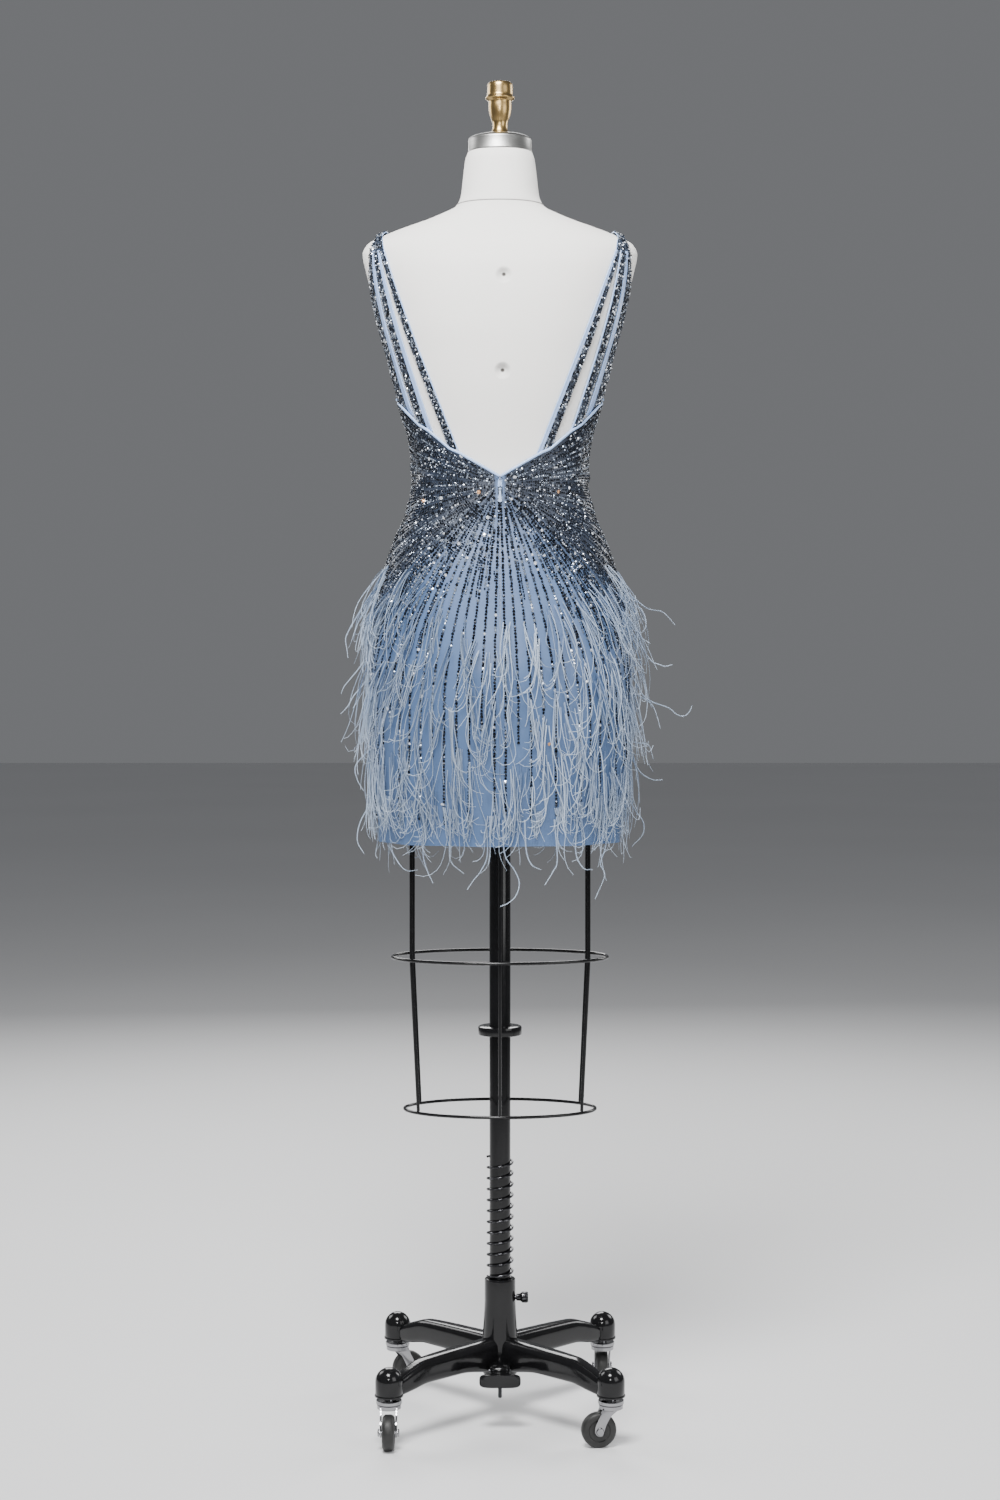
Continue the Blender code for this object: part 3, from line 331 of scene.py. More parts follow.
def arc_of(z, angle):
    """Arc from the centre back of each height and angle, minus towards the wearer's right."""
    z, angle = np.broadcast_arrays(np.asarray(z, float), np.asarray(angle, float))
    turn = (math.pi / 2 - angle + math.pi) % (2 * math.pi) - math.pi
    row, share = arc_place(z)
    column = np.abs(turn) / math.pi * (len(ARC_TURNS) - 1)
    low = np.minimum(column.astype(int), len(ARC_TURNS) - 2)
    part = column - low

    def at(r):
        return ARCS[r, low] * (1 - part) + ARCS[r, low + 1] * part

    return np.sign(turn) * (at(row) * (1 - share) + at(row + 1) * share)


def folds(z, angle):
    """Rise of the cloth in its creases: a ridge with a shallow trough on its lower side."""
    arc = arc_of(z, angle)
    rise = np.zeros(arc.shape)
    for place, height, lean, half, width, tall in CREASES:
        c = math.cos(math.radians(lean))
        s = math.sin(math.radians(lean))
        along = (arc - place) * c - (z - height) * s
        across = (arc - place) * s + (z - height) * c
        across = across + 0.12 * width * np.sin(along / half * 4.0)
        shape = np.exp(-(across / width) ** 2) - 0.35 * np.exp(-((across + 1.9 * width) / width) ** 2)
        rise = rise + tall * shape * np.exp(-(along / half) ** 2)
    return rise


def drape(z, angle):
    """Distance of the cloth's outside from the figure, with the waves at the hem and the creases."""
    share = np.maximum(0.0, (HEM_WAVE_TOP - z) / (HEM_WAVE_TOP - HEM))
    waves = HEM_WAVE * share ** 1.5 * (1 + np.sin(HEM_WAVES * angle + 0.8))
    return CLOTH_OUT + waves + folds(z, angle)


def top_height(neck, angle):
    """Height of a neckline at some angles, found in small steps, as the figure's width changes with it."""
    angle = np.asarray(angle, float)
    z = np.full(angle.shape, neck[0, 1])
    for _ in range(60):
        x = figure_point(z, angle)[..., 0]
        z = z + 0.4 * (np.interp(np.abs(x), neck[:, 0], neck[:, 1]) - z)
    return z


def edge_above(neck, x, z, back=True):
    """Height of a neckline above one place across, as the figure's width at a height z gives it."""
    return float(top_height(neck, angle_at(np.array([z]), np.array([x]), back))[0])


def foot_height(neck, x, z, rounds, back=True):
    """Height at which a strap's edge meets a neckline."""
    for _ in range(rounds):
        z += 0.4 * (edge_above(neck, x, z, back) - z)
    return z


# Workshop

def clear_selection():
    for item in list(bpy.context.selected_objects):
        item.select_set(False)


def take(piece):
    clear_selection()
    piece.select_set(True)
    bpy.context.view_layer.objects.active = piece
    return piece


def named(name):
    piece = bpy.context.object
    piece.name = name
    piece.data.name = name
    return piece


def settle(piece):
    """Puts the piece's place into its mesh."""
    take(piece)
    bpy.ops.object.transform_apply(location=True, rotation=True, scale=True)
    return piece


def apply_all(piece):
    take(piece)
    for change in list(piece.modifiers):
        bpy.ops.object.modifier_apply(modifier=change.name)
    return piece


def soften(piece, width, segments=2, angle=32.0):
    """Breaks the sharp edges, as a file or the casting would."""
    edge = piece.modifiers.new("Bevel", "BEVEL")
    edge.width = width
    edge.segments = segments
    edge.limit_method = "ANGLE"
    edge.angle_limit = math.radians(angle)
    return apply_all(piece)


def shade(piece, angle=40.0):
    take(piece)
    bpy.ops.object.shade_smooth_by_angle(angle=math.radians(angle))
    return piece


def finish_piece(piece, body, material, nodes=()):
    """Gives the piece its finish, its body and the CAD nodes that it stands for."""
    piece.data.materials.clear()
    piece.data.materials.append(material)
    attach(piece, body)
    if nodes:
        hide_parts(*nodes)
    return piece


def from_arrays(name, points, faces, tone=None, along=None):
    """A mesh from arrays, with an optional shade number for each point."""
    mesh = bpy.data.meshes.new(name)
    if isinstance(faces, np.ndarray):
        faces = faces.tolist()
    mesh.from_pydata(points.reshape(-1, 3).tolist(), [], faces)
    for word, values in (("tone", tone), ("along", along)):
        if values is not None:
            layer = mesh.attributes.new(word, "FLOAT", "POINT")
            layer.data.foreach_set("value", np.ascontiguousarray(values.reshape(-1), dtype=np.float32))
    piece = bpy.data.objects.new(name, mesh)
    bpy.context.scene.collection.objects.link(piece)
    return piece


def lay_pattern(piece, places):
    """Lays a map in metres on the cloth, from one pair for each point."""
    mesh = piece.data
    loops = np.zeros(len(mesh.loops), dtype=np.int32)
    mesh.loops.foreach_get("vertex_index", loops)
    layer = mesh.uv_layers.new(name="cloth")
    layer.data.foreach_set("uv", places.reshape(-1, 2)[loops].astype(np.float32).reshape(-1))


def grid_faces(rows, columns, closed=False):
    r, c = np.meshgrid(np.arange(rows - 1), np.arange(columns if closed else columns - 1), indexing="ij")
    r = r.reshape(-1)
    c = c.reshape(-1)
    n = (c + 1) % columns
    return np.stack((r * columns + c, r * columns + n, (r + 1) * columns + n, (r + 1) * columns + c), axis=1)


def wall(piece, thickness):
    """Gives a sheet its thickness, outward."""
    body = piece.modifiers.new("Solidify", "SOLIDIFY")
    body.thickness = thickness
    body.offset = 1.0
    return apply_all(piece)


def face_outward(piece, merge=0.0):
    """Merges near points where asked, and turns every face outward."""
    take(piece)
    bpy.ops.object.mode_set(mode="EDIT")
    bpy.ops.mesh.select_all(action="SELECT")
    if merge:
        bpy.ops.mesh.remove_doubles(threshold=merge)
    bpy.ops.mesh.normals_make_consistent(inside=False)
    bpy.ops.object.mode_set(mode="OBJECT")
    return piece


def loft(name, sections):
    """Closed sections in a row, with both ends capped: an array of row, place on the section, point."""
    rows, columns = sections.shape[:2]
    faces = [tuple(f) for f in grid_faces(rows, columns, closed=True).tolist()]
    faces.append(tuple(range(columns - 1, -1, -1)))
    faces.append(tuple((rows - 1) * columns + i for i in range(columns)))
    return face_outward(from_arrays(name, sections, faces))


def cord_line(name, line, radius, closed=False, sides=6):
    """A round wire, thread or piping bent along a line of points."""
    curve = bpy.data.curves.new(name, "CURVE")
    curve.dimensions = "3D"
    curve.bevel_depth = radius
    curve.bevel_resolution = sides // 2 - 1
    curve.use_fill_caps = True
    spline = curve.splines.new("POLY")
    spline.points.add(len(line) - 1)
    for point, place in zip(spline.points, line):
        point.co = (*place, 1.0)
    spline.use_cyclic_u = closed
    piece = bpy.data.objects.new(name, curve)
    bpy.context.scene.collection.objects.link(piece)
    take(piece)
    bpy.ops.object.convert(target="MESH")
    return shade(face_outward(named(name), 0.000005), 60.0)


def turned(name, profile, steps=48, ring=False, place=(0, 0, 0), lay=(0, 0, 0), edge=0.0):
    """Lathe work: a ring is drawn out and widened along the profile, then capped or joined to its start."""
    clear_selection()
    radius, height = profile[0]
    bpy.ops.mesh.primitive_circle_add(vertices=steps, radius=radius, location=(0, 0, height))
    piece = named(name)
    bpy.ops.object.mode_set(mode="EDIT")
    bpy.ops.mesh.select_all(action="SELECT")
    for (wide, low), (next_wide, high) in zip(profile, profile[1:]):
        bpy.ops.mesh.extrude_edges_move(TRANSFORM_OT_translate={"value": (0, 0, high - low)})
        share = next_wide / wide
        bpy.ops.transform.resize(value=(share, share, 1), center_override=(0, 0, high))
    bpy.ops.mesh.select_all(action="SELECT")
    if ring:
        bpy.ops.mesh.remove_doubles(threshold=0.00001)
    else:
        bpy.ops.mesh.fill_holes(sides=0)
    bpy.ops.mesh.select_all(action="SELECT")
    bpy.ops.mesh.normals_make_consistent(inside=False)
    bpy.ops.object.mode_set(mode="OBJECT")
    settle(piece)
    piece.rotation_euler = lay
    piece.location = place
    settle(piece)
    if edge:
        soften(piece, edge)
    return shade(piece)


def block(name, low, high, edge=0.0):
    """A block between two corners, with its edges broken where asked."""
    clear_selection()
    middle = [(a + b) / 2 for a, b in zip(low, high)]
    bpy.ops.mesh.primitive_cube_add(size=1, location=middle)
    piece = named(name)
    piece.scale = [b - a for a, b in zip(low, high)]
    settle(piece)
    if edge:
        soften(piece, edge)
    return shade(piece)


def weld_pieces(name, pieces):
    """Several parts of one piece as one object."""
    clear_selection()
    for item in pieces:
        item.select_set(True)
    bpy.context.view_layer.objects.active = pieces[0]
    bpy.ops.object.join()
    return named(name)


def copy_of(piece, name, place):
    """A copy with its own mesh, put in its place."""
    made = bpy.data.objects.new(name, piece.data.copy())
    made.data.name = name
    bpy.context.scene.collection.objects.link(made)
    made.data.transform(place)
    return made


def smooth_line(points, count):
    """Points along a Catmull-Rom curve through the given ones."""
    points = np.asarray(points, float)
    ends = np.vstack((points[0] * 2 - points[1], points, points[-1] * 2 - points[-2]))
    place = np.linspace(0, len(points) - 1, count + 1)
    k = np.minimum(place.astype(int), len(points) - 2)
    t = (place - k)[:, None]
    a, b, c, d = ends[k], ends[k + 1], ends[k + 2], ends[k + 3]
    return 0.5 * (2 * b + (c - a) * t + (2 * a - 5 * b + 4 * c - d) * t * t
                  + (3 * b - 3 * c + d - a) * t ** 3)


# Finishes

class Finish:
    """One material and the few node moves that its recipe needs."""

    def __init__(self, name, colour, roughness, metallic=0.0):
        self.material = bpy.data.materials.new(name)
        self.material.use_nodes = True
        self.nodes = self.material.node_tree.nodes
        self.links = self.material.node_tree.links
        self.shader = next(n for n in self.nodes if n.type == "BSDF_PRINCIPLED")
        self.set("Base Color", (*colour, 1.0))
        self.set("Roughness", roughness)
        self.set("Metallic", metallic)
        self.material.diffuse_color = (*colour, 1.0)

    def set(self, socket, value):
        self.shader.inputs[socket].default_value = value

    def node(self, kind, **settings):
        made = self.nodes.new(kind)
        for key, value in settings.items():
            setattr(made, key, value)
        return made

    def join(self, source, target):
        self.links.new(source, target)

    def places(self, scale=(1, 1, 1), source="Object"):
        start = self.node("ShaderNodeTexCoord")
        mapping = self.node("ShaderNodeMapping")
        mapping.inputs["Scale"].default_value = scale
        self.join(start.outputs[source], mapping.inputs["Vector"])
        return mapping.outputs["Vector"]

    def noise(self, scale, detail=3.0, stretch=(1, 1, 1), source="Object"):
        made = self.node("ShaderNodeTexNoise")
        made.inputs["Scale"].default_value = scale
        made.inputs["Detail"].default_value = detail
        self.join(self.places(stretch, source), made.inputs["Vector"])
        return made.outputs["Fac"]

    def threads(self, scale, direction, source="UV"):
        made = self.node("ShaderNodeTexWave", bands_direction=direction)
        made.inputs["Scale"].default_value = scale
        made.inputs["Distortion"].default_value = 0.6
        made.inputs["Detail"].default_value = 1.0
        self.join(self.places((1, 1, 1), source), made.inputs["Vector"])
        return made.outputs["Fac"]

    def attribute(self, word):
        made = self.node("ShaderNodeAttribute")
        made.attribute_name = word
        return made.outputs["Fac"]

    def ramp(self, fac, stops, sharp=False):
        made = self.node("ShaderNodeValToRGB")
        made.color_ramp.interpolation = "CONSTANT" if sharp else "LINEAR"
        points = made.color_ramp.elements
        while len(points) < len(stops):
            points.new(0.5)
        for point, (place, colour) in zip(points, stops):
            point.position = place
            point.color = (*colour, 1.0)
        self.join(fac, made.inputs["Fac"])
        return made.outputs["Color"]

    def blend(self, fac, a, b, mode="MIX"):
        made = self.node("ShaderNodeMix", data_type="RGBA", blend_type=mode)
        for socket, value in (("Factor", fac), ("A", a), ("B", b)):
            port = next(i for i in made.inputs if i.name == socket and i.enabled)
            if isinstance(value, (int, float)):
                port.default_value = value
            elif isinstance(value, tuple):
                port.default_value = (*value, 1.0)
            else:
                self.join(value, port)
        return next(o for o in made.outputs if o.enabled)

    def between(self, fac, low, high):
        made = self.node("ShaderNodeMapRange")
        made.inputs["To Min"].default_value = low
        made.inputs["To Max"].default_value = high
        self.join(fac, made.inputs["Value"])
        return made.outputs["Result"]

    def fade(self, value, near, far, start, end):
        """A smooth change from start to end while the value goes from near to far."""
        made = self.node("ShaderNodeMapRange", interpolation_type="SMOOTHSTEP")
        for socket, number in (("From Min", near), ("From Max", far), ("To Min", start), ("To Max", end)):
            made.inputs[socket].default_value = number
        self.join(value, made.inputs["Value"])
        return made.outputs["Result"]

    def distance(self, place):
        """Distance of each point of the piece from one place."""
        made = self.node("ShaderNodeVectorMath", operation="DISTANCE")
        start = self.node("ShaderNodeTexCoord")
        self.join(start.outputs["Object"], made.inputs[0])
        made.inputs[1].default_value = place
        return made.outputs["Value"]

    def colour(self, output):
        self.join(output, self.shader.inputs["Base Color"])

    def roughness(self, output):
        self.join(output, self.shader.inputs["Roughness"])

    def bump(self, height, strength, distance, under=None):
        made = self.node("ShaderNodeBump")
        made.inputs["Strength"].default_value = strength
        made.inputs["Distance"].default_value = distance
        self.join(height, made.inputs["Height"])
        if under is not None:
            self.join(under, made.inputs["Normal"])
        self.join(made.outputs["Normal"], self.shader.inputs["Normal"])
        return made.outputs["Normal"]


def dress_satin():
    """Pale blue satin with painted sheen streaks along its threads; where the beading is dense the ground
    under it is dark.
    """
    f = Finish("dress_satin", (0.14, 0.25, 0.50), 0.36)
    light = f.blend(f.noise(9.0, 3.0), (0.046, 0.086, 0.185), (0.092, 0.155, 0.290))
    silk_threads_and_sheen = f.noise(1.0, 2.0, (1400, 110, 1), "UV")
    # Lighter streaks along the silk threads are painted sheen; the same noise gives the threads their bump.
    light = f.blend(f.between(silk_threads_and_sheen, 0.0, 0.26), light, (0.17, 0.265, 0.45))
    dark = f.attribute("tone")
    f.colour(f.blend(dark, light, (0.016, 0.020, 0.030)))
    f.roughness(f.between(f.noise(34.0), 0.30, 0.46))
    f.bump(silk_threads_and_sheen, 0.18, 0.0004, f.bump(f.noise(60.0, 3.0), 0.15, 0.0015))
    f.join(f.between(dark, 0.07, 0.0), f.shader.inputs["Sheen Weight"])
    f.set("Sheen Roughness", 0.35)
    f.set("Sheen Tint", (0.75, 0.85, 1.0, 1.0))
    f.set("Anisotropic", 0.35)
    return f.material


def edge_satin():
    """The lighter satin of the bindings, the pipings and the zip's edges."""
    f = Finish("edge_satin", (0.33, 0.47, 0.76), 0.30)
    f.colour(f.blend(f.noise(40.0, 3.0), (0.27, 0.41, 0.70), (0.42, 0.57, 0.86)))
    f.roughness(f.between(f.noise(90.0), 0.24, 0.38))
    f.bump(f.noise(900.0, 2.0), 0.20, 0.0003)
    f.set("Sheen Weight", 0.15)
    f.set("Sheen Roughness", 0.30)
    f.set("Anisotropic", 0.30)
    return f.material


def bead_glass():
    """Cut beads, each of one shade: gunmetal, steel blue, silver, near-white ones painted as glints, and a
    few orange ones painted with a warm flash.
    """
    f = Finish("bead_glass", (0.05, 0.06, 0.075), 0.15, 0.55)
    # The near-white stop paints glints onto the beads that get it; the orange stop is a painted warm flash.
    f.colour(f.ramp(f.attribute("tone"), (
        (0.0, (0.005, 0.006, 0.009)), (0.38, (0.016, 0.020, 0.028)), (0.62, (0.060, 0.072, 0.098)),
        (0.81, (0.24, 0.28, 0.34)), (0.945, (0.84, 0.88, 0.95)), (0.996, (0.95, 0.50, 0.24))), sharp=True))
    f.roughness(f.between(f.noise(300.0), 0.08, 0.20))
    return f.material


def strap_satin():
    """Satin ribbon, dark where the beads cover it."""
    f = Finish("strap_satin", (0.33, 0.47, 0.76), 0.34)
    light = f.blend(f.noise(50.0, 3.0), (0.26, 0.40, 0.70), (0.40, 0.54, 0.84))
    f.colour(f.blend(f.attribute("tone"), light, (0.020, 0.025, 0.036)))
    f.roughness(f.between(f.noise(200.0), 0.28, 0.44))
    f.bump(f.noise(900.0, 2.0), 0.25, 0.0003)
    return f.material


def feather_down():
    """Grey-blue ostrich: darker at the root, pale towards the curled tip."""
    f = Finish("feather_down", (0.35, 0.43, 0.57), 0.62)
    by_length = f.ramp(f.attribute("along"), (
        (0.0, (0.065, 0.115, 0.225)), (0.40, (0.125, 0.185, 0.295)), (1.0, (0.38, 0.455, 0.56))))
    f.colour(f.blend(f.between(f.attribute("tone"), 0.0, 0.70), by_length, (0.42, 0.50, 0.61)))
    f.roughness(f.between(f.noise(160.0), 0.55, 0.72))
    f.set("Sheen Weight", 0.20)
    f.set("Sheen Roughness", 0.5)
    f.set("Sheen Tint", (0.85, 0.92, 1.0, 1.0))
    return f.material


def form_linen():
    """Off-white linen with its weave, faint slubs and the two pin marks on the back."""
    f = Finish("form_linen", (0.76, 0.74, 0.71), 0.78)
    cloth = f.blend(f.noise(5.0, 3.0), (0.80, 0.785, 0.750), (0.88, 0.865, 0.835))
    slub = f.noise(1.0, 3.0, (40, 900, 1), "UV")
    cloth = f.blend(f.between(slub, 0.0, 0.22), cloth, (0.70, 0.68, 0.645))
    marks = None
    for x, z in PINS:
        y = float(figure_point(z, angle_at(z, x))[1])
        away = f.distance((x, y, z))
        cloth = f.blend(f.fade(away, 0.0016, 0.0036, 1.0, 0.0), cloth, (0.05, 0.045, 0.04))
        marks = f.bump(f.fade(away, 0.0, 0.0120, 0.0, 1.0), 0.80, 0.0090, marks)
    f.colour(cloth)
    weave = f.blend(0.5, f.threads(260.0, "X"), f.threads(260.0, "Y"), "MULTIPLY")
    f.bump(weave, 0.22, 0.0005, marks)
    f.roughness(f.between(f.noise(60.0), 0.72, 0.86))
    f.set("Sheen Weight", 0.20)
    f.set("Sheen Roughness", 0.5)
    return f.material


def seam_thread():
    """The grey thread of the neck seam."""
    f = Finish("seam_thread", (0.28, 0.27, 0.26), 0.7)
    f.colour(f.blend(f.noise(400.0, 2.0), (0.20, 0.195, 0.19), (0.38, 0.37, 0.355)))
    f.bump(f.noise(1500.0, 2.0), 0.2, 0.0002)
    return f.material


def brushed_steel():
    """The neck cap, brushed round its axis."""
    f = Finish("brushed_steel", (0.62, 0.61, 0.59), 0.34, 1.0)
    streaks = f.noise(1.0, 4.0, (14, 14, 1600))
    f.colour(f.blend(f.between(streaks, 0.0, 0.7), (0.36, 0.36, 0.35), (0.17, 0.17, 0.165)))
    f.roughness(f.between(streaks, 0.24, 0.46))
    f.bump(streaks, 0.12, 0.0003)
    f.set("Anisotropic", 0.5)
    return f.material


def polished_brass():
    """The finial, with faint rings from the lathe."""
    f = Finish("polished_brass", (0.76, 0.55, 0.26), 0.16, 1.0)
    f.colour(f.blend(f.between(f.noise(16.0, 3.0), 0.0, 0.8), (0.50, 0.35, 0.155), (0.36, 0.235, 0.09)))
    f.roughness(f.between(f.noise(30.0), 0.24, 0.34))
    f.bump(f.noise(1.0, 3.0, (20, 20, 1500)), 0.05, 0.0002)
    return f.material


def gloss_paint():
    """Black stove enamel on the pole and the wires, with a thin dust in its gloss."""
    f = Finish("gloss_paint", (0.012, 0.012, 0.013), 0.12)
    f.colour(f.blend(f.noise(90.0, 4.0), (0.003, 0.003, 0.003), (0.008, 0.008, 0.009)))
    f.roughness(f.between(f.noise(220.0), 0.07, 0.20))
    f.bump(f.noise(420.0, 2.0), 0.04, 0.0004)
    f.set("Specular IOR Level", 0.32)
    return f.material


def cast_paint():
    """Black enamel over the grain of the casting."""
    f = Finish("cast_paint", (0.012, 0.012, 0.013), 0.16)
    f.colour(f.blend(f.noise(70.0, 4.0), (0.003, 0.003, 0.003), (0.009, 0.009, 0.010)))
    f.roughness(f.between(f.noise(120.0), 0.07, 0.20))
    f.bump(f.noise(150.0, 3.0), 0.10, 0.0012)
    f.set("Specular IOR Level", 0.34)
    return f.material


def oiled_steel():
    """The dark spring, screw and pins, with bright patches that are painted highlights."""
    f = Finish("oiled_steel", (0.05, 0.05, 0.053), 0.18, 0.85)
    # The brightest stop of this ramp paints highlights onto the steel, in patches.
    f.colour(f.ramp(f.noise(120.0, 4.0), ((0.0, (0.012, 0.012, 0.013)), (0.55, (0.035, 0.035, 0.038)),
                                          (0.80, (0.20, 0.20, 0.21)))))
    f.roughness(f.between(f.noise(260.0), 0.10, 0.22))
    f.bump(f.noise(500.0, 2.0), 0.06, 0.0003)
    return f.material


def chrome_plate():
    """The casters' stems, forks and axles."""
    f = Finish("chrome_plate", (0.74, 0.74, 0.75), 0.08, 1.0)
    f.colour(f.blend(f.between(f.noise(70.0, 4.0), 0.0, 0.5), (0.33, 0.33, 0.34), (0.20, 0.20, 0.21)))
    f.roughness(f.between(f.noise(180.0), 0.05, 0.14))
    f.bump(f.noise(260.0, 2.0), 0.03, 0.0003)
    return f.material


def wheel_rubber():
    """Dull black tyre rubber."""
    f = Finish("wheel_rubber", (0.018, 0.018, 0.019), 0.48)
    f.colour(f.blend(f.noise(150.0, 4.0), (0.006, 0.006, 0.006), (0.020, 0.020, 0.019)))
    f.roughness(f.between(f.noise(190.0), 0.38, 0.62))
    f.bump(f.noise(700.0, 3.0), 0.15, 0.0004)
    return f.material


def pull_enamel():
    """The pale lacquer of the zip's slider and pull."""
    f = Finish("pull_enamel", (0.34, 0.44, 0.62), 0.24, 0.35)
    f.colour(f.blend(f.noise(500.0, 3.0), (0.28, 0.38, 0.56), (0.42, 0.52, 0.70)))
    f.roughness(f.between(f.noise(700.0), 0.18, 0.34))
    f.bump(f.noise(900.0, 2.0), 0.05, 0.0002)
    return f.material


SATIN = dress_satin()
EDGE_SATIN = edge_satin()
BEADS = bead_glass()
STRAP_SATIN = strap_satin()
DOWN = feather_down()
LINEN = form_linen()
SEAM_THREAD = seam_thread()
STEEL = brushed_steel()
BRASS = polished_brass()
GLOSS = gloss_paint()
CAST = cast_paint()
OILED = oiled_steel()
CHROME = chrome_plate()
RUBBER = wheel_rubber()
ENAMEL = pull_enamel()


# Camera, light and floor

def set_camera():
    """The photograph's view of the dress's back, from 3.5 m away."""
    camera = bpy.data.objects.new("camera", bpy.data.cameras.new("camera"))
    camera.data.lens = 63.0
    camera.data.shift_y = -0.0673
    camera.data.clip_end = 60.0
    camera.location = (0.0, 3.5, 1.02)
    camera.rotation_euler = (math.pi / 2, 0.0, math.pi)
    bpy.context.scene.collection.objects.link(camera)
    bpy.context.scene.camera = camera


def set_lights():
    """Soft lamps, each with its place, the height that it aims at, its size and power, and a grey world."""
    for name, place, height, size, power in (
            ("key", (0.35, 1.35, 2.85), 1.45, 0.9, 128.0), ("fill", (-2.4, 2.2, 1.7), 1.0, 1.8, 36.0),
            ("sparkle", (0.25, 3.4, 1.9), 1.1, 0.45, 34.0), ("front", (0.3, -3.0, 2.4), 1.2, 1.6, 70.0),
            ("rim_left", (2.4, -1.6, 2.2), 1.1, 1.4, 40.0), ("rim_right", (-2.4, -1.8, 2.0), 1.1, 1.4, 40.0)):
        aim = Vector((0.0, 0.0, height))
        light = bpy.data.objects.new(name, bpy.data.lights.new(name, "AREA"))
        light.data.size = size
        light.data.energy = power
        light.location = place
        light.rotation_euler = (aim - Vector(place)).to_track_quat("-Z", "Y").to_euler()
        bpy.context.scene.collection.objects.link(light)
    world = bpy.data.worlds.new("studio")
    bpy.context.scene.world = world
    world.use_nodes = True
    backdrop = next(n for n in world.node_tree.nodes if n.type == "BACKGROUND")
    backdrop.inputs["Color"].default_value = (0.42, 0.43, 0.45, 1.0)
    backdrop.inputs["Strength"].default_value = 0.40


def lay_floor():
    """A pale paper floor."""
    clear_selection()
    bpy.ops.mesh.primitive_plane_add(size=40.0, location=(0, 0, 0))
    floor = named("floor")
    paper = Finish("studio_floor", (0.78, 0.78, 0.785), 0.75)
    paper.colour(paper.blend(paper.noise(0.6, 2.0), (0.75, 0.75, 0.755), (0.81, 0.81, 0.815)))
    paper.bump(paper.noise(30.0), 0.03, 0.002)
    floor.data.materials.append(paper.material)


# Dress form

def linen_form():
    """The padded torso under its linen, with the groove of the neck seam and the pole's socket.

    It returns the torso's faces as a search tree, for the straps that lie on them.
    """
    heights = np.concatenate((np.linspace(FORM_BOTTOM + 0.002, 1.500, 86), np.linspace(1.506, 1.606, 30),
                              NECK_SEAM + np.array((-0.0022, -0.0012, -0.0005, 0.0, 0.0005, 0.0012, 0.0022)),
                              np.linspace(1.617, FORM_TOP - 0.0015, 18)))
    count = 160
    angles = 2 * math.pi * np.arange(count) / count
    points = figure_point(heights[:, None], angles[None, :], FORM_BUST)
    inset = 0.0007 * np.exp(-((heights - NECK_SEAM) / 0.0009) ** 2)
    points = points - outward(heights[:, None], angles[None, :]) * inset[:, None, None]
    arc = arc_of(heights[:, None], angles[None, :])
    rows = [points]
    maps = [np.stack((arc, np.broadcast_to(heights[:, None], arc.shape)), axis=-1)]

    def ring(z, share, wide=None):
        edge = figure_point(np.full(count, FORM_TOP if z > NECK_SEAM else FORM_BOTTOM), angles, FORM_BUST)
        if wide is not None:
            edge = np.stack((wide * np.cos(angles), wide * np.sin(angles), np.zeros(count)), axis=-1)
        edge = edge * (share, share, 0) + (0, 0, z)
        return edge[None], np.stack((edge[:, 0], edge[:, 1]), axis=-1)[None]

    for edge, flat in (ring(FORM_BOTTOM, 0.992), ring(FORM_BOTTOM, 0.8), ring(FORM_BOTTOM, 1.0, POLE + 0.006),
                       ring(FORM_BOTTOM, 1.0, POLE + 0.0006), ring(FORM_BOTTOM + 0.12, 1.0, POLE + 0.0006)):
        rows.insert(0, edge)
        maps.insert(0, flat)
    for edge, flat in (ring(FORM_TOP - 0.0004, 0.994), ring(FORM_TOP, 0.975), ring(FORM_TOP, 0.5),
                       ring(FORM_TOP, 0.02)):
        rows.append(edge)
        maps.append(flat)
    grid = np.concatenate(rows)
    form = loft("linen_form", grid)
    lay_pattern(form, np.concatenate(maps))
    shade(form, 50.0)
    finish_piece(form, "figure", LINEN, ["form_torso"])
    return BVHTree.FromPolygons([tuple(p) for p in grid.reshape(-1, 3)],
                                [tuple(f) for f in grid_faces(len(grid), count, closed=True).tolist()])


# Dress panels

def dense_foot(arc):
    """Height where the dense beading ends and the columns go on alone."""
    return np.maximum(DENSE_LEAST, DENSE_CENTRE - DENSE_FALL * np.abs(arc))


def from_nearer_centre(arc, z):
    """Arc from the nearer of the centre back and the centre front."""
    around = np.abs(arc)
    half = np.interp(z, ARC_HEIGHTS, ARCS[:, -1])
    return np.minimum(around, half - around)


def satin_panels():
    """Three panels cut to the figure, hung by their upper edges, each with its binding."""
    made = {}
    bindings = {}
    for name, start, end, neck, columns in PANELS:
        angles = np.linspace(start, end, columns + 1)
        angles[0] += SEAM_ANGLE
        angles[-1] -= SEAM_ANGLE
        tops = top_height(neck, angles)
        share = np.linspace(0.0, 1.0, PANEL_ROWS + 1)[:, None]
        z = HEM + (tops[None, :] - 0.0012 - HEM) * share
        around = np.broadcast_to(angles[None, :], z.shape)
        points = skin(z, around, drape(z, around) + 0.0001)
        arc = arc_of(z, around)
        near = from_nearer_centre(arc, z)
        dark = np.clip((z - dense_foot(near) + GROUND_BELOW) / GROUND_FADE, 0.0, 1.0) ** 1.6 * GROUND_DARK
        strip = np.abs(arc) < ZIP_STRIP
        dark = np.where(strip & (np.sin(around) > 0), 0.0, dark)
        panel = from_arrays("satin_" + name, points, grid_faces(*z.shape), tone=dark)
        lay_pattern(panel, np.stack((arc, z), axis=-1))
        wall(panel, 0.0012)
        shade(panel, 50.0)
        made[name] = finish_piece(panel, "figure", SATIN, ["dress_" + name])
        bindings[name] = edge_binding(name, angles, tops)
    return made, bindings


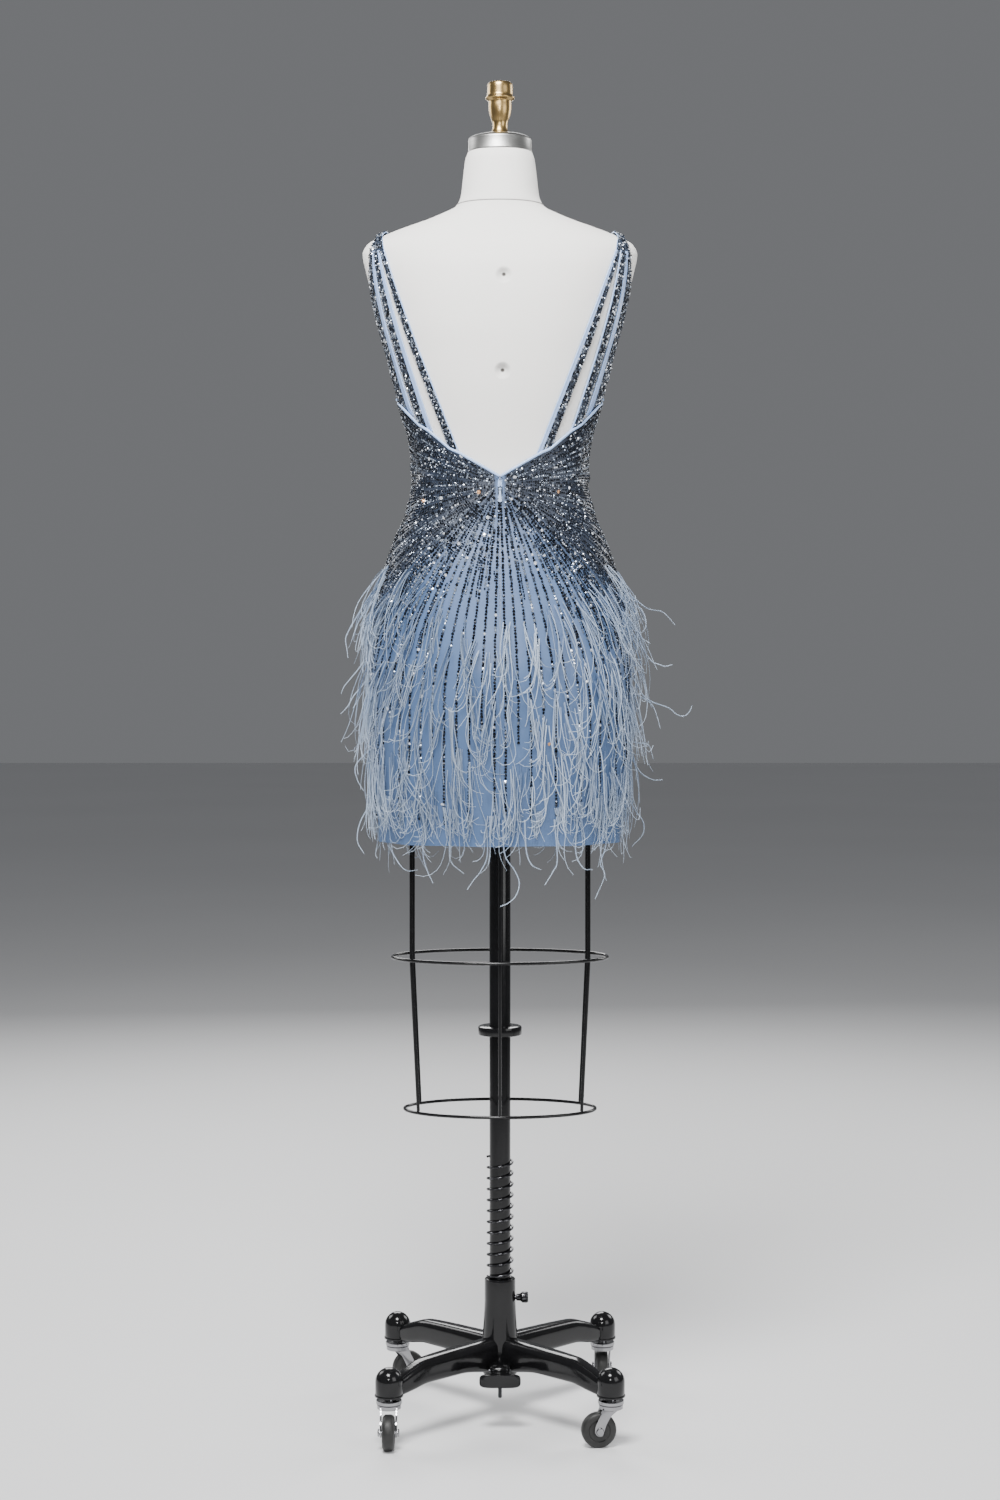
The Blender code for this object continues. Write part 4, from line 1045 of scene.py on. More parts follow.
def edge_binding(name, angles, tops):
    """A bias strip folded over the panel's upper edge."""
    fine = np.linspace(angles[0], angles[-1], 2 * len(angles))
    heights = np.interp(fine, angles, tops)
    middle = skin(heights, fine, drape(heights, fine) + CLOTH / 2)
    out = outward(heights, fine)
    run = unit(np.gradient(middle, axis=0))
    down = unit(np.cross(out, run))
    down = np.where(down[:, 2:3] > 0, -down, down)
    fold = ((-0.0007, 0.0), (-0.0003, 0.0010), (0.0006, 0.0017), (0.0018, 0.0018), (0.0027, 0.0013),
            (0.0030, 0.0006), (0.0026, -0.0009), (0.0010, -0.0012), (-0.0003, -0.0009))
    rows = np.stack([middle + down * d + out * o for d, o in fold], axis=1)
    binding = loft("binding_" + name, rows)
    shade(binding, 60.0)
    return finish_piece(binding, "figure", EDGE_SATIN, ["edge_binding_" + name])


# Beading

def bead_shape():
    """One cut bead: a six-sided spindle from a cylinder whose ends are drawn to points."""
    clear_selection()
    bpy.ops.mesh.primitive_cone_add(vertices=6, radius1=1.0, radius2=1.0, depth=0.9, end_fill_type="TRIFAN")
    bead = named("bead_pattern")
    bpy.ops.object.mode_set(mode="EDIT")
    shape = bmesh.from_edit_mesh(bead.data)
    for corner in shape.verts:
        if corner.co.xy.length < 0.01:
            corner.co.z *= 1.35
        else:
            corner.co.z = 0.0
    bmesh.ops.remove_doubles(shape, verts=shape.verts, dist=0.001)
    bmesh.ops.recalc_face_normals(shape, faces=shape.faces)
    bmesh.update_edit_mesh(bead.data)
    bpy.ops.object.mode_set(mode="OBJECT")
    points = np.array([tuple(v.co) for v in bead.data.vertices])
    faces = np.array([tuple(f.vertices)[:3] for f in bead.data.polygons if len(f.vertices) == 3])
    bpy.data.objects.remove(bead)
    return points, faces


BEAD_POINTS, BEAD_FACES = bead_shape()


def sew_beads(name, places, out, run, chance, size, bright=0.0, tone=None):
    """All beads of a region as one mesh: places, outward directions, directions of the rows."""
    count = len(places)
    run = unit(run - out * np.sum(run * out, axis=1, keepdims=True))
    across = np.cross(out, run)
    spin = chance.uniform(0, math.pi / 3, count)[:, None]
    tilt = chance.normal(0, 0.20, (count, 2))
    lifted = unit(out + run * tilt[:, :1] + across * tilt[:, 1:])
    along = unit(run * np.cos(spin) + across * np.sin(spin))
    along = unit(along - lifted * np.sum(along * lifted, axis=1, keepdims=True))
    beside = np.cross(lifted, along)
    sizes = size * chance.uniform(0.86, 1.10, count)
    if tone is None:
        tone = np.minimum(chance.random(count) ** (1 - bright), COOLEST)
    local = BEAD_POINTS[None, :, :] * sizes[:, None, None]
    points = (places + out * (sizes * 0.45)[:, None])[:, None, :] + (
        local[..., 0:1] * along[:, None, :] + local[..., 1:2] * beside[:, None, :]
        + local[..., 2:3] * lifted[:, None, :])
    faces = BEAD_FACES[None, :, :] + (np.arange(count) * len(BEAD_POINTS))[:, None, None]
    tones = np.repeat(tone, len(BEAD_POINTS))
    beads = from_arrays(name, points, faces.reshape(-1, 3), tone=tones)
    return finish_piece(beads, "figure", BEADS)


def bend_of(z):
    """How far a row still spreads at a height: all at the foot of the V, not at all where columns run."""
    return np.clip((z - RAY_FOOT) / (APEX - RAY_FOOT), 0.0, 1.0) ** (RAY_BEND - 1)


def ray(steep, first, stop, step=BEAD_STEP):
    """Arc and height along one row of beads that leaves the foot of the V at a slope, down to a stop."""
    arc = 0.0
    z = APEX
    gone = 0.0
    row = []
    while gone < ROW_LONGEST:
        lean = math.atan(bend_of(z) / math.tan(steep)) if steep > 0.02 else math.pi / 2 - steep
        arc += step * math.sin(lean)
        z -= step * math.cos(lean)
        gone += step
        if z < stop or z > ROW_HIGHEST or arc > ROW_WIDEST:
            break
        if gone >= first:
            row.append((arc, z))
    return row


def reversed_share(number, bits=8):
    """Spreads the numbers evenly, so that rays start where the gaps between the others have grown."""
    share = 0.0
    for b in range(bits):
        if number >> b & 1:
            share += 0.5 ** (b + 1)
    return share


def bead_rows(chance, behind):
    """Columns and fan rays on one side: the row, how far it runs past the dense beading, and its bead."""
    rows = []
    for k in range(COLUMNS):
        reach = COLUMN_FIRST + COLUMN_STEP * k
        steep = math.atan((APEX - RAY_FOOT) / (RAY_BEND * reach))
        stop = (0.790, 0.850)[k % 2] + (0.020, 0.080)[k % 2] * chance.random()
        first = 0.006 + 0.105 * reversed_share(k)
        rows.append((ray(steep, first, stop, COLUMN_STEP_DOWN), 0.0, COLUMN_BEAD))
    low = math.radians(87)
    top = math.radians(-58 if behind else -84)
    for k in range(FAN_RAYS):
        steep = low + (top - low) * (k + 0.5) / FAN_RAYS
        first = max(0.006, FAN_REACH * reversed_share(k))
        rows.append((ray(steep, first, FAN_STOP), 0.125 * chance.random() ** 1.9 + 0.002, BEAD))
    return rows


def bead_spots(chance, side, behind):
    """Arc, height, size and shade of every bead on one side of the back or of the front."""
    spots = []
    for row, longer, size in bead_rows(chance, behind):
        shade_of_row = chance.random()
        for arc, z in row:
            half = np.interp(z, ARC_HEIGHTS, ARCS[:, -1])
            seam = float(np.interp(z, ARC_HEIGHTS, ARCS[:, SEAM_COLUMN]))
            past_seam = arc > (seam if behind else half - seam) - SEAM_CLEAR
            past_dense = longer > 0.0 and z < dense_foot(arc) - longer
            on_zip = behind and longer > 0.0 and arc < ZIP_CLEAR
            if not (past_seam or past_dense or on_zip):
                spots.append((side * (arc if behind else half - arc), z, size, shade_of_row))
    return spots


def beading():
    """Rays and columns on the back and the front, as one mesh for each panel, and the single stones."""
    chance = np.random.default_rng(5)
    sewn = {}
    for name, sides, neck in (("back_left", (1,), BACK_NECK), ("back_right", (-1,), BACK_NECK),
                              ("front", (1, -1), FRONT_NECK)):
        spots = np.array([spot for side in sides for spot in bead_spots(chance, side, neck is BACK_NECK)])
        spots[:, :2] += chance.normal(0, 0.00022, (len(spots), 2))
        angle = np.array([angle_from_back(z, arc) for arc, z in spots[:, :2]])
        fits = spots[:, 1] < top_height(neck, angle) - EDGE_CLEAR
        arc, z, size, row_tone = spots[fits].T
        angle = angle[fits]
        out = outward(z, angle)
        places = skin(z, angle, drape(z, angle) + BEAD_SEAT)
        lower = np.array([angle_from_back(h, a * 1.02) for a, h in zip(arc, z - 0.004)])
        run = figure_point(z - 0.004, lower) - figure_point(z, angle)
        kept = thin_out(places)
        own = np.minimum(chance.random(len(places)), COOLEST)
        tone = np.where(chance.random(len(places)) < 0.5, own,
                        np.clip(row_tone + chance.normal(0, 0.06, len(places)), 0.0, BRIGHTEST_ROW))
        sewn[name] = sew_beads("beads_" + name, places[kept], out[kept], run[kept], chance, size[kept],
                               tone=tone[kept])
    x, z, warm = np.array(STONES).T
    angle = angle_at(z, x)
    places = skin(z, angle, drape(z, angle) + 0.0024)
    down = np.tile((0.0, 0.0, -1.0), (len(x), 1))
    # The stones take the near-white and orange stops of the beads' ramp: painted glints and painted warm
    # flashes.
    tone = np.where(warm > 0, 0.999, 0.97)
    sewn["stones"] = sew_beads("back_stones", places, outward(z, angle), down, chance, STONE, tone=tone)
    return sewn


def thin_out(places, least=0.0021):
    """Leaves out beads that would sit in one another, where rows cross."""
    cells = {}
    kept = []
    for k, place in enumerate(places):
        x, y, z = (place / least).astype(int).tolist()
        near = [other for dx in (-1, 0, 1) for dy in (-1, 0, 1) for dz in (-1, 0, 1)
                for other in cells.get((x + dx, y + dy, z + dz), ())]
        if all(np.sum((places[other] - place) ** 2) >= least * least for other in near):
            cells.setdefault((x, y, z), []).append(k)
            kept.append(k)
    return np.array(kept)


# Straps

def ribbon(name, stations, node, satin, chance, piped=True):
    """A flat ribbon with its rows of beads, and with a satin piping on its inner edge where asked.

    The stations are pairs of points on its two edges, and satin is the share of the width left bare.
    """
    inner = stations[:, 0]
    outer = stations[:, 1]
    middle = (inner + outer) / 2
    shares = np.array((0.0, satin * 0.5, satin * 0.95, satin * 1.05, 0.55, 0.72, 0.88, 1.0))
    grid = inner[:, None] + (outer - inner)[:, None] * shares[None, :, None]
    run = unit(np.gradient(middle, axis=0))
    out = unit(np.cross(run, unit(outer - inner)))
    outside = np.sum(out * middle * (1, 1, 0), axis=1, keepdims=True) + out[:, 2:3] * 0.05
    out = np.where(outside < 0, -out, out)
    crown = 0.0004 * (1 - (2 * shares - 1) ** 2)
    grid = grid + out[:, None] * crown[None, :, None]
    faces = grid_faces(*grid.shape[:2])
    corners = grid.reshape(-1, 3)[faces[len(faces) // 2]]
    facing = np.cross(corners[1] - corners[0], corners[2] - corners[1])
    if np.dot(facing, out[len(out) // 2]) < 0:
        faces = faces[:, ::-1]
    ground = np.broadcast_to(np.where(shares > satin, 0.95, 0.0), grid.shape[:2])
    strap = from_arrays("ribbon_" + name, grid, faces, tone=ground)
    wall(strap, 0.0011)
    shade(strap, 50.0)
    finish_piece(strap, "figure", STRAP_SATIN, [node])
    lengths = np.concatenate(((0.0,), np.cumsum(np.linalg.norm(np.diff(middle, axis=0), axis=1))))
    # A back strap's foot lies under the binding, so its beads start further on
    start = 0.0050 if piped else 0.0014
    extras = [strap_beads(name, inner, outer, out, run, lengths, satin, chance, start)]
    if piped:
        pipe = cord_line(f"piping_{name}_1", [tuple(p) for p in inner + out * 0.0006], PIPING, sides=8)
        extras.append(finish_piece(pipe, "figure", EDGE_SATIN))
    one = grid[:-1, :-1] - grid[1:, 1:]
    other = grid[:-1, 1:] - grid[1:, :-1]
    area = float(np.linalg.norm(np.cross(one, other), axis=-1).sum() / 2)
    return strap, extras, area / float(lengths[-1]), float(lengths[-1])


def strap_beads(name, inner, outer, out, run, lengths, satin, chance, start):
    """Rows of beads along a ribbon, each row a little behind the one beside it."""
    wide = np.linalg.norm(outer - inner, axis=1).max()
    rows = np.linspace(satin + 0.06, 1.02, max(2, int(wide * (1 - satin) / STRAP_BEAD_STEP) + 1))
    stores = ([], [], [])
    for k, share in enumerate(rows):
        at = np.arange(start + 0.0009 * (k % 3), lengths[-1] - 0.002, STRAP_BEAD_STEP)
        for values, store in zip((inner + (outer - inner) * share, out, run), stores):
            store.append(np.stack([np.interp(at, lengths, values[:, c]) for c in range(3)], axis=1))
    places, outs, runs = (np.concatenate(store) for store in stores)
    kept = thin_out(places, STRAP_BEADS_APART)
    outs = unit(outs)[kept]
    places = places[kept] + outs * 0.0012
    # bright=0.42 pushes the strap beads towards silver and the near-white of painted glints.
    return sew_beads("beads_" + name, places, outs, unit(runs)[kept], chance, STRAP_BEAD, bright=0.42)


def back_strap(name, word, side, row, chance):
    """One strap of the fan, from the back's upper edge to the foot of the shoulder loop."""
    foot_in, foot_out, top_in, top_out, bow, left_satin, right_satin = row
    t = np.linspace(0.0, 1.0, 45)
    strip = left_satin if side > 0 else right_satin
    pair = []
    for foot, top, more in ((foot_in, top_in, strip), (foot_out, top_out, 0.0)):
        start = edge_above(BACK_NECK, foot * side, 1.30)
        low = foot_height(BACK_NECK, foot * side, start, 30) - 0.0030
        z = low + (SPLIT - low) * t
        x = foot + (top - foot) * t + bow * 4 * t * (1 - t) * (0.5 + t) - more * (1 - t ** 3)
        out = 0.0004 + (CLOTH_OUT - 0.0004) * np.clip(t / 0.05, 0, 1)
        pair.append(skin(z, angle_at(z, x * side), out))
    return ribbon(f"{name}_{word}", np.stack(pair, axis=1), f"strap_{word}_{name}",
                  strip / (BEADED_BAND + strip), chance)


def straps(tree):
    """On each side three back straps and the loop over the shoulder."""
    chance = np.random.default_rng(17)
    made = []
    for word, side in (("left", 1), ("right", -1)):
        made += [back_strap(name, word, side, row, chance) for name, *row in STRAPS]
        made.append(shoulder_strap(word, side, tree, chance))
    return made


def shoulder_strap(word, side, tree, chance):
    """The loop from the three back straps, over the shoulder and down to the top of the front."""
    line = smooth_line([(x * side, y, z) for x, y, z in LOOP], 60)
    split = SPLIT + 2 * GAP
    across = np.array((STRAPS[0][3], STRAPS[-1][4]))
    heights = np.array((split, split))
    stations = [skin(heights, angle_at(heights, across * side), np.full(2, SPLIT_OUT))]
    for i, point in enumerate(line):
        run = unit(line[min(len(line) - 1, i + 1)] - line[max(0, i - 1)])
        normal = tree.find_nearest(Vector(point))[1]
        sideways = unit(np.cross(np.array(normal), run))
        if sideways[0] * side > 0:
            sideways = -sideways
        pair = []
        for sign in (1, -1):
            seat, face = tree.find_nearest(Vector(point + sideways * sign * LOOP_WIDTH / 2))[:2]
            pair.append(np.array(seat + face * LOOP_OUT))
        stations.append(np.array(pair))
    low = np.array([foot_height(FRONT_NECK, x * side, 1.40, 40, False) - 0.003 for x in LOOP_FOOT])
    stations.append(skin(low, angle_at(low, np.array(LOOP_FOOT) * side, False), np.full(2, 0.0006)))
    return ribbon(f"shoulder_{word}", np.array(stations), f"strap_{word}_shoulder", 0.04, chance, piped=False)


# Zip

def zip_lips():
    """The two edges of the placket above the slider."""
    lips = []
    for word, side in (("left", 1), ("right", -1)):
        z = np.linspace(*ZIP_LIPS, 16)
        wide = table_value(FIGURE, 1, z)
        rows = []
        for x, more in ((0.00035, 0.0), (0.00035, 0.0010), (0.0011, 0.0014), (0.0022, 0.0013),
                        (0.0030, 0.0007), (0.0030, 0.0)):
            angle = np.arccos(np.clip(x / wide, 0, 1) ** (1 / ROUNDNESS))
            angle = angle if side > 0 else math.pi - angle
            rows.append(skin(z, angle, drape(z, angle) + 0.0011 + more))
        lip = shade(loft(f"zip_lip_{word}", np.stack(rows, axis=1)), 60.0)
        lips.append(finish_piece(lip, "figure", EDGE_SATIN))
    return lips


def centre_back(z, out):
    """Depth of the centre back at a height, some way out from the figure."""
    return float(skin(np.array(z), np.array(math.pi / 2), out)[1])


def zip_coil():
    """The teeth that show above the slider, left and right in turn."""
    teeth = []
    for k in range(TEETH):
        z = TOOTH_LOWEST + TOOTH_STEP * k
        for side in (1, -1):
            y = centre_back(z, CLOTH_OUT + 0.0026)
            teeth.append(block("tooth", (side * 0.0002 - 0.0007, y, z - 0.0003 + 0.0003 * side),
                               (side * 0.0002 + 0.0007, y + 0.0008, z + 0.0003 + 0.0003 * side)))
    return finish_piece(weld_pieces("zip_coil", teeth), "figure", ENAMEL)


def top_hook():
    """The wire hook above the zip."""
    y = centre_back(1.2425, CLOTH_OUT + 0.0036)
    hook = cord_line("hook", [(0.0042, y, 1.2400), (0.0042, y, 1.2425), (0.0012, y + 0.0006, 1.2432),
                              (-0.0030, y + 0.0008, 1.2430), (-0.0040, y + 0.0010, 1.2421),
                              (-0.0030, y + 0.0012, 1.2412), (0.0012, y + 0.0006, 1.2412)], 0.00038)
    return finish_piece(hook, "figure", OILED)


# Feathers

def barb_shafts(line, along, run, beside, facing, width):
    """Points and faces of the three-sided shafts, tapered towards their tips and closed at both ends."""
    count, parts = line.shape[:2]
    radius = width[:, None] * (1 - 0.66 * along)
    rings = []
    for k in range(3):
        a = 2 * math.pi * k / 3
        rings.append(line + radius[..., None] * (math.cos(a) * beside + math.sin(a) * facing))
    shape = []
    for p in range(parts - 1):
        for k in range(3):
            j = (k + 1) % 3
            shape.append((3 * p + k, 3 * p + 3 + k, 3 * p + 3 + j))
            shape.append((3 * p + k, 3 * p + 3 + j, 3 * p + j))
    last = 3 * (parts - 1)
    shape += [(0, 1, 2), (last + 2, last + 1, last)]
    base = (np.arange(count) * parts * 3)[:, None]
    return np.stack(rings, axis=2).reshape(-1, 3), np.concatenate([base + np.array(f) for f in shape])


def barb_hairs(root, along, run, beside, facing, width, hair, chance):
    """Points of the fine hairs on one side of the barbs, each a thin spike with four corners."""
    lean = chance.uniform(0.55, 1.05, root.shape[:2])[..., None]
    lift = chance.normal(0, 0.30, root.shape[:2])[..., None]
    way = unit(run * np.cos(lean) + beside * np.sin(lean) + facing * lift)
    long = hair * chance.uniform(0.6, 1.25, root.shape[:2])[..., None] * (1 - 0.35 * along[..., None])
    thick = width[:, None, None] * 0.30
    first = unit(np.cross(way, facing))
    second = np.cross(way, first)
    corners = [root + thick * first, root + thick * (-0.5 * first + 0.87 * second),
               root + thick * (-0.5 * first - 0.87 * second), root + way * long]
    return np.stack(corners, axis=2).reshape(-1, 3)


def barb_mesh(name, line, along, tone, width, chance, hair=HAIR):
    """Curled barbs with fine hairs on both sides, all in one mesh."""
    parts = line.shape[1]
    run = unit(np.gradient(line, axis=1))
    beside = unit(np.cross(run, unit(line * (1, 1, 0))))
    facing = np.cross(beside, run)
    shafts, faces = barb_shafts(line, along, run, beside, facing, width)
    points = [shafts]
    faces = [faces]
    tones = [np.repeat(tone, parts * 3)]
    lengths = [np.repeat(along.reshape(-1), 3)]
    haired = slice(2, parts)
    for side in (-1, 1):
        hairs = barb_hairs(line[:, haired], along[:, haired], run[:, haired], beside[:, haired] * side,
                           facing[:, haired], width, hair, chance)
        total = sum(len(p) for p in points)
        start = (total + 4 * np.arange(len(hairs) // 4))[:, None]
        faces += [start + np.array(f) for f in ((0, 1, 3), (1, 2, 3), (2, 0, 3), (2, 1, 0))]
        points.append(hairs)
        tones.append(np.repeat(tone, (parts - 2) * 4))
        lengths.append(np.repeat(along[:, haired].reshape(-1), 4))
    return from_arrays(name, np.concatenate(points), np.concatenate(faces),
                       tone=np.concatenate(tones), along=np.concatenate(lengths))


def barb_roots(number, row, of_lock, chance):
    """Angle, height and length of every barb of a tier."""
    side_z, centre_z, length, _ = row
    angle = 2 * math.pi * of_lock(np.arange(LOCKS) + chance.uniform(-0.5, 0.5, LOCKS), 0.20) / LOCKS
    centre = np.abs(np.sin(angle)) ** 6
    lowest = number == len(TIERS)
    drop = of_lock(chance.uniform(0.0, 0.070, LOCKS), 0.010) * (not lowest)
    z = side_z + (centre_z - side_z) * centre - np.maximum(0.0, drop)
    long = length * (of_lock(chance.uniform(0.70, 1.0, LOCKS)) * chance.uniform(0.42, 1.0, BARBS))
    hem = np.where(chance.random(BARBS) < 0.55, chance.uniform(HEM, 0.790, BARBS),
                   chance.uniform(0.700, HEM, BARBS))
    short = of_lock(chance.random(LOCKS)) < 0.4
    return angle, z, np.minimum(long, z - hem) * np.where(lowest & short, 0.45, 1.0)


def barb_lean(angle, z):
    """Lean of a barb at its root, away from the nearer centre as the rows of beads lean."""
    turn = (math.pi / 2 - angle + math.pi) % (2 * math.pi) - math.pi
    arc = from_nearer_centre(arc_of(z, angle), z)
    away = np.where(np.abs(turn) < math.pi / 2, -np.sign(turn), np.sign(turn))
    return away * np.arctan(arc * RAY_BEND / (APEX - RAY_FOOT) * bend_of(z))


def barb_lines(angle, z, long, length, flare, of_lock, chance):
    """Each barb's line over the satin: it leans, sways, lifts off and curls at its tip."""
    along = np.broadcast_to(np.linspace(0, 1, BARB_PARTS + 1), (BARBS, BARB_PARTS + 1))
    step = (long / BARB_PARTS)[:, None]
    near = np.where(chance.random(BARBS) < 0.62, chance.uniform(0.10, 0.50, BARBS),
                    chance.uniform(0.55, 1.20, BARBS))
    lift = near * flare / length * 1.9
    side = np.where(chance.random(LOCKS) < 0.5, 1.0, -1.0)
    curl = of_lock(side * chance.uniform(0.1, 1.1, LOCKS), 0.55)[:, None]
    wave = np.abs(of_lock(chance.uniform(0.04, 0.26, LOCKS), 0.08))[:, None]
    pace = of_lock(chance.uniform(0.8, 1.6, LOCKS), 0.20)[:, None]
    phase = of_lock(chance.random(LOCKS), 0.07)[:, None]
    tilt = of_lock(chance.normal(0, 0.14, LOCKS), 0.06)[:, None]
    spread = of_lock(chance.normal(0, 0.10, LOCKS), 0.16)[:, None]
    theta = (barb_lean(angle, z)[:, None] * (1 - 0.70 * along) + tilt + spread * along
             + wave * np.sin(2 * math.pi * (along * pace + phase)) * along
             + curl * 7.0 * np.maximum(0.0, along - 0.60) ** 1.7)
    rise = lift[:, None] * (1 - along) ** 0.8 + chance.normal(0, 0.22, BARBS)[:, None] * along ** 3
    across = np.cumsum(step * np.sin(theta) * np.cos(rise), axis=1)
    fall = np.cumsum(step * np.cos(theta) * np.cos(rise), axis=1)
    stand = np.maximum(0.0, np.cumsum(step * np.sin(rise), axis=1))
    stand = np.minimum(stand, flare * 1.25)
    heights = z[:, None] - fall + step
    speed = np.linalg.norm(figure_point(z, angle + 0.01) - figure_point(z, angle - 0.01), axis=-1) / 0.02
    angles = angle[:, None] + across / speed[:, None]
    return along, skin(heights, angles, drape(heights, angles) + CLOTH + 0.0011 + stand)


def feathers():
    """Four tiers of ostrich barbs, in locks that share their lean, sway and curl."""
    chance = np.random.default_rng(23)
    lock = np.repeat(np.arange(LOCKS), BARBS // LOCKS)

    def of_lock(values, own=None):
        """The lock's value for each of its barbs, with some spread of their own where asked."""
        return values[lock] if own is None else values[lock] + chance.normal(0, own, BARBS)

    for number, row in enumerate(TIERS, 1):
        angle, z, long = barb_roots(number, row, of_lock, chance)
        along, line = barb_lines(angle, z, long, row[2], row[3], of_lock, chance)
        tone = np.clip(of_lock(chance.uniform(0.1, 0.9, LOCKS), 0.25), 0.0, 1.0)
        width = BARB * chance.uniform(0.7, 1.25, BARBS)
        tier = barb_mesh(f"ostrich_tier_{number}", line, along, tone, width, chance)
        finish_piece(tier, "figure", DOWN, [f"feather_tier_{number}"])
    stray_barbs(chance)


def stray_barbs(chance):
    """The few curls that stand clear at the sides and under the hem."""
    lines = []
    for points, under_hem in [(p, False) for p in SIDE_STRAYS] + [(p, True) for p in HEM_STRAYS]:
        x, z = np.array(points).T
        t = np.linspace(0, 1, len(points))
        y = np.zeros(len(points)) + chance.uniform(-0.012, 0.012) * t
        if under_hem:
            y = figure_point(z, angle_at(z, x))[:, 1] + 0.010 + 0.004 * t
        lines.append(smooth_line(np.stack((x, y, z), axis=1), 20))
    line = np.array(lines)
    along = np.broadcast_to(np.linspace(0, 1, 21), line.shape[:2])
    tone = chance.uniform(0.6, 1.0, len(line))
    width = BARB * chance.uniform(1.2, 1.6, len(line))
    strays = barb_mesh("stray_barbs", line, along, tone, width, chance, hair=LOOSE_HAIR)
    finish_piece(strays, "figure", DOWN)


# Neck cap and finial

def neck_cap():
    """The steel cap that closes the neck, turned from its rim to its crown."""
    cap = turned("steel_cap", ((0.0418, 1.6813), (0.0426, 1.6816), (0.0428, 1.6824), (0.0424, 1.6832),
                               (0.0422, 1.6975), (0.0419, 1.6992), (0.0408, 1.7004), (0.0380, 1.7020),
                               (0.0330, 1.7036), (0.0250, 1.7050), (0.0150, 1.7061), (0.0020, 1.7065)), 72)
    finish_piece(cap, "figure", STEEL, ["neck_cap"])


def neck_seam():
    """The thread laid in the groove between the neck and the shoulders."""
    angles = 2 * math.pi * np.arange(96) / 96
    seam = skin(np.full(96, NECK_SEAM), angles, np.full(96, -0.0001))
    thread = cord_line("neck_seam", [tuple(p) for p in seam], 0.0007, closed=True, sides=5)
    finish_piece(thread, "figure", SEAM_THREAD)


def neck_finial():
    """Turned from an outline of radius and height: a foot, a waist, a vase, a rim and a flat knob."""
    outline = smooth_line([(0.0122, 1.7068), (0.0124, 1.7085), (0.0108, 1.7105), (0.0098, 1.7160),
                           (0.0102, 1.7220), (0.0122, 1.7270), (0.0143, 1.7340), (0.0153, 1.7420),
                           (0.0151, 1.7495), (0.0168, 1.7515), (0.0192, 1.7532), (0.0196, 1.7548),
                           (0.0184, 1.7564), (0.0173, 1.7580), (0.0170, 1.7640), (0.0167, 1.7710),
                           (0.0156, 1.7742), (0.0128, 1.7756), (0.0020, 1.7760)], 60)
    finial = turned("brass_finial", outline.tolist(), 48)
    finish_piece(finial, "figure", BRASS, ["neck_finial"])


# Pole, cage and spring

def mast_pieces():
    """The pole and the collar on it."""
    pole = turned("gloss_pole", ((POLE, 0.1000), (POLE, 0.30), (POLE, 1.000)), 56, edge=0.0008)
    finish_piece(pole, "mast", GLOSS, ["mast_pole"])
    bore = POLE + GAP
    collar = turned("gloss_collar", ((bore, 0.5060), (0.0270, 0.5060), (0.0286, 0.5068), (0.0290, 0.5080),
                                     (0.0290, 0.5160), (0.0286, 0.5172), (0.0270, 0.5180), (bore, 0.5180),
                                     (bore, 0.5060)), 56, ring=True)
    finish_piece(collar, "mast", GLOSS, ["mast_collar"])


def cage():
    """Two rings of wire, and six uprights that bend in past the upper ring and end under the form."""
    angles = 2 * math.pi * np.arange(96) / 96
    for name, z, side, depth in RINGS:
        line = np.stack((side * np.cos(angles), depth * np.sin(angles), np.full(len(angles), z)), axis=1)
        ring = cord_line("wire_" + name, [tuple(p) for p in line], WIRE, closed=True, sides=10)
        finish_piece(ring, "figure", GLOSS, [name])
    (_, upper_z, upper_side, upper_depth), (_, lower_z, lower_side, lower_depth) = RINGS
    inset = 2 * WIRE + 2 * GAP
    for i, degrees in enumerate(CAGE_WIRES):
        c = math.cos(math.radians(degrees))
        s = math.sin(math.radians(degrees))
        foot = Vector((lower_side * c, lower_depth * s, lower_z + WIRE + GAP))
        bend = Vector(((upper_side - inset) * c, (upper_depth - inset) * s, upper_z))
        top = Vector((bend.x, bend.y, FORM_BOTTOM - GAP))
        line = [foot, foot.lerp(bend, 0.90), foot.lerp(bend, 0.97) + Vector((0, 0, 0.001)),
                bend.lerp(top, 0.03), bend.lerp(top, 0.10), top]
        upright = cord_line(f"wire_upright_{i + 1}", [tuple(p) for p in line], WIRE, sides=10)
        finish_piece(upright, "figure", GLOSS, [f"cage_wire_{i + 1}"])


def pole_spring():
    """The coil round the pole, on top of the hub."""
    mean, radius, turns, low, high = SPRING
    count = turns * 30
    turn = 2 * math.pi * np.arange(count + 1) / 30
    line = np.stack((mean * np.cos(turn), mean * np.sin(turn), np.linspace(low, high, count + 1)), axis=1)
    spring = cord_line("coil_spring", [tuple(p) for p in line], radius, sides=8)
    finish_piece(spring, "base", OILED, ["pole_spring"])


# Base

def base_arm():
    """One arm along +X, lofted through rounded sections that taper towards the dome."""
    reach = DOME_REACH * math.sqrt(2)
    shares = np.linspace(ARM[0, 0], ARM[-1, 0], 30)
    low = table_value(ARM, 1, shares)
    high = table_value(ARM, 2, shares)
    half = table_value(ARM, 3, shares)
    turn = 2 * math.pi * (np.arange(20) + 0.5) / 20
    y = half[:, None] * rounded(np.cos(turn), 0.55)
    z = (low + high)[:, None] / 2 + (high - low)[:, None] / 2 * rounded(np.sin(turn), 0.55)
    x = np.broadcast_to(shares[:, None] * reach, y.shape)
    return shade(loft("arm_pattern", np.stack((x, y, z), axis=2)), 60.0)


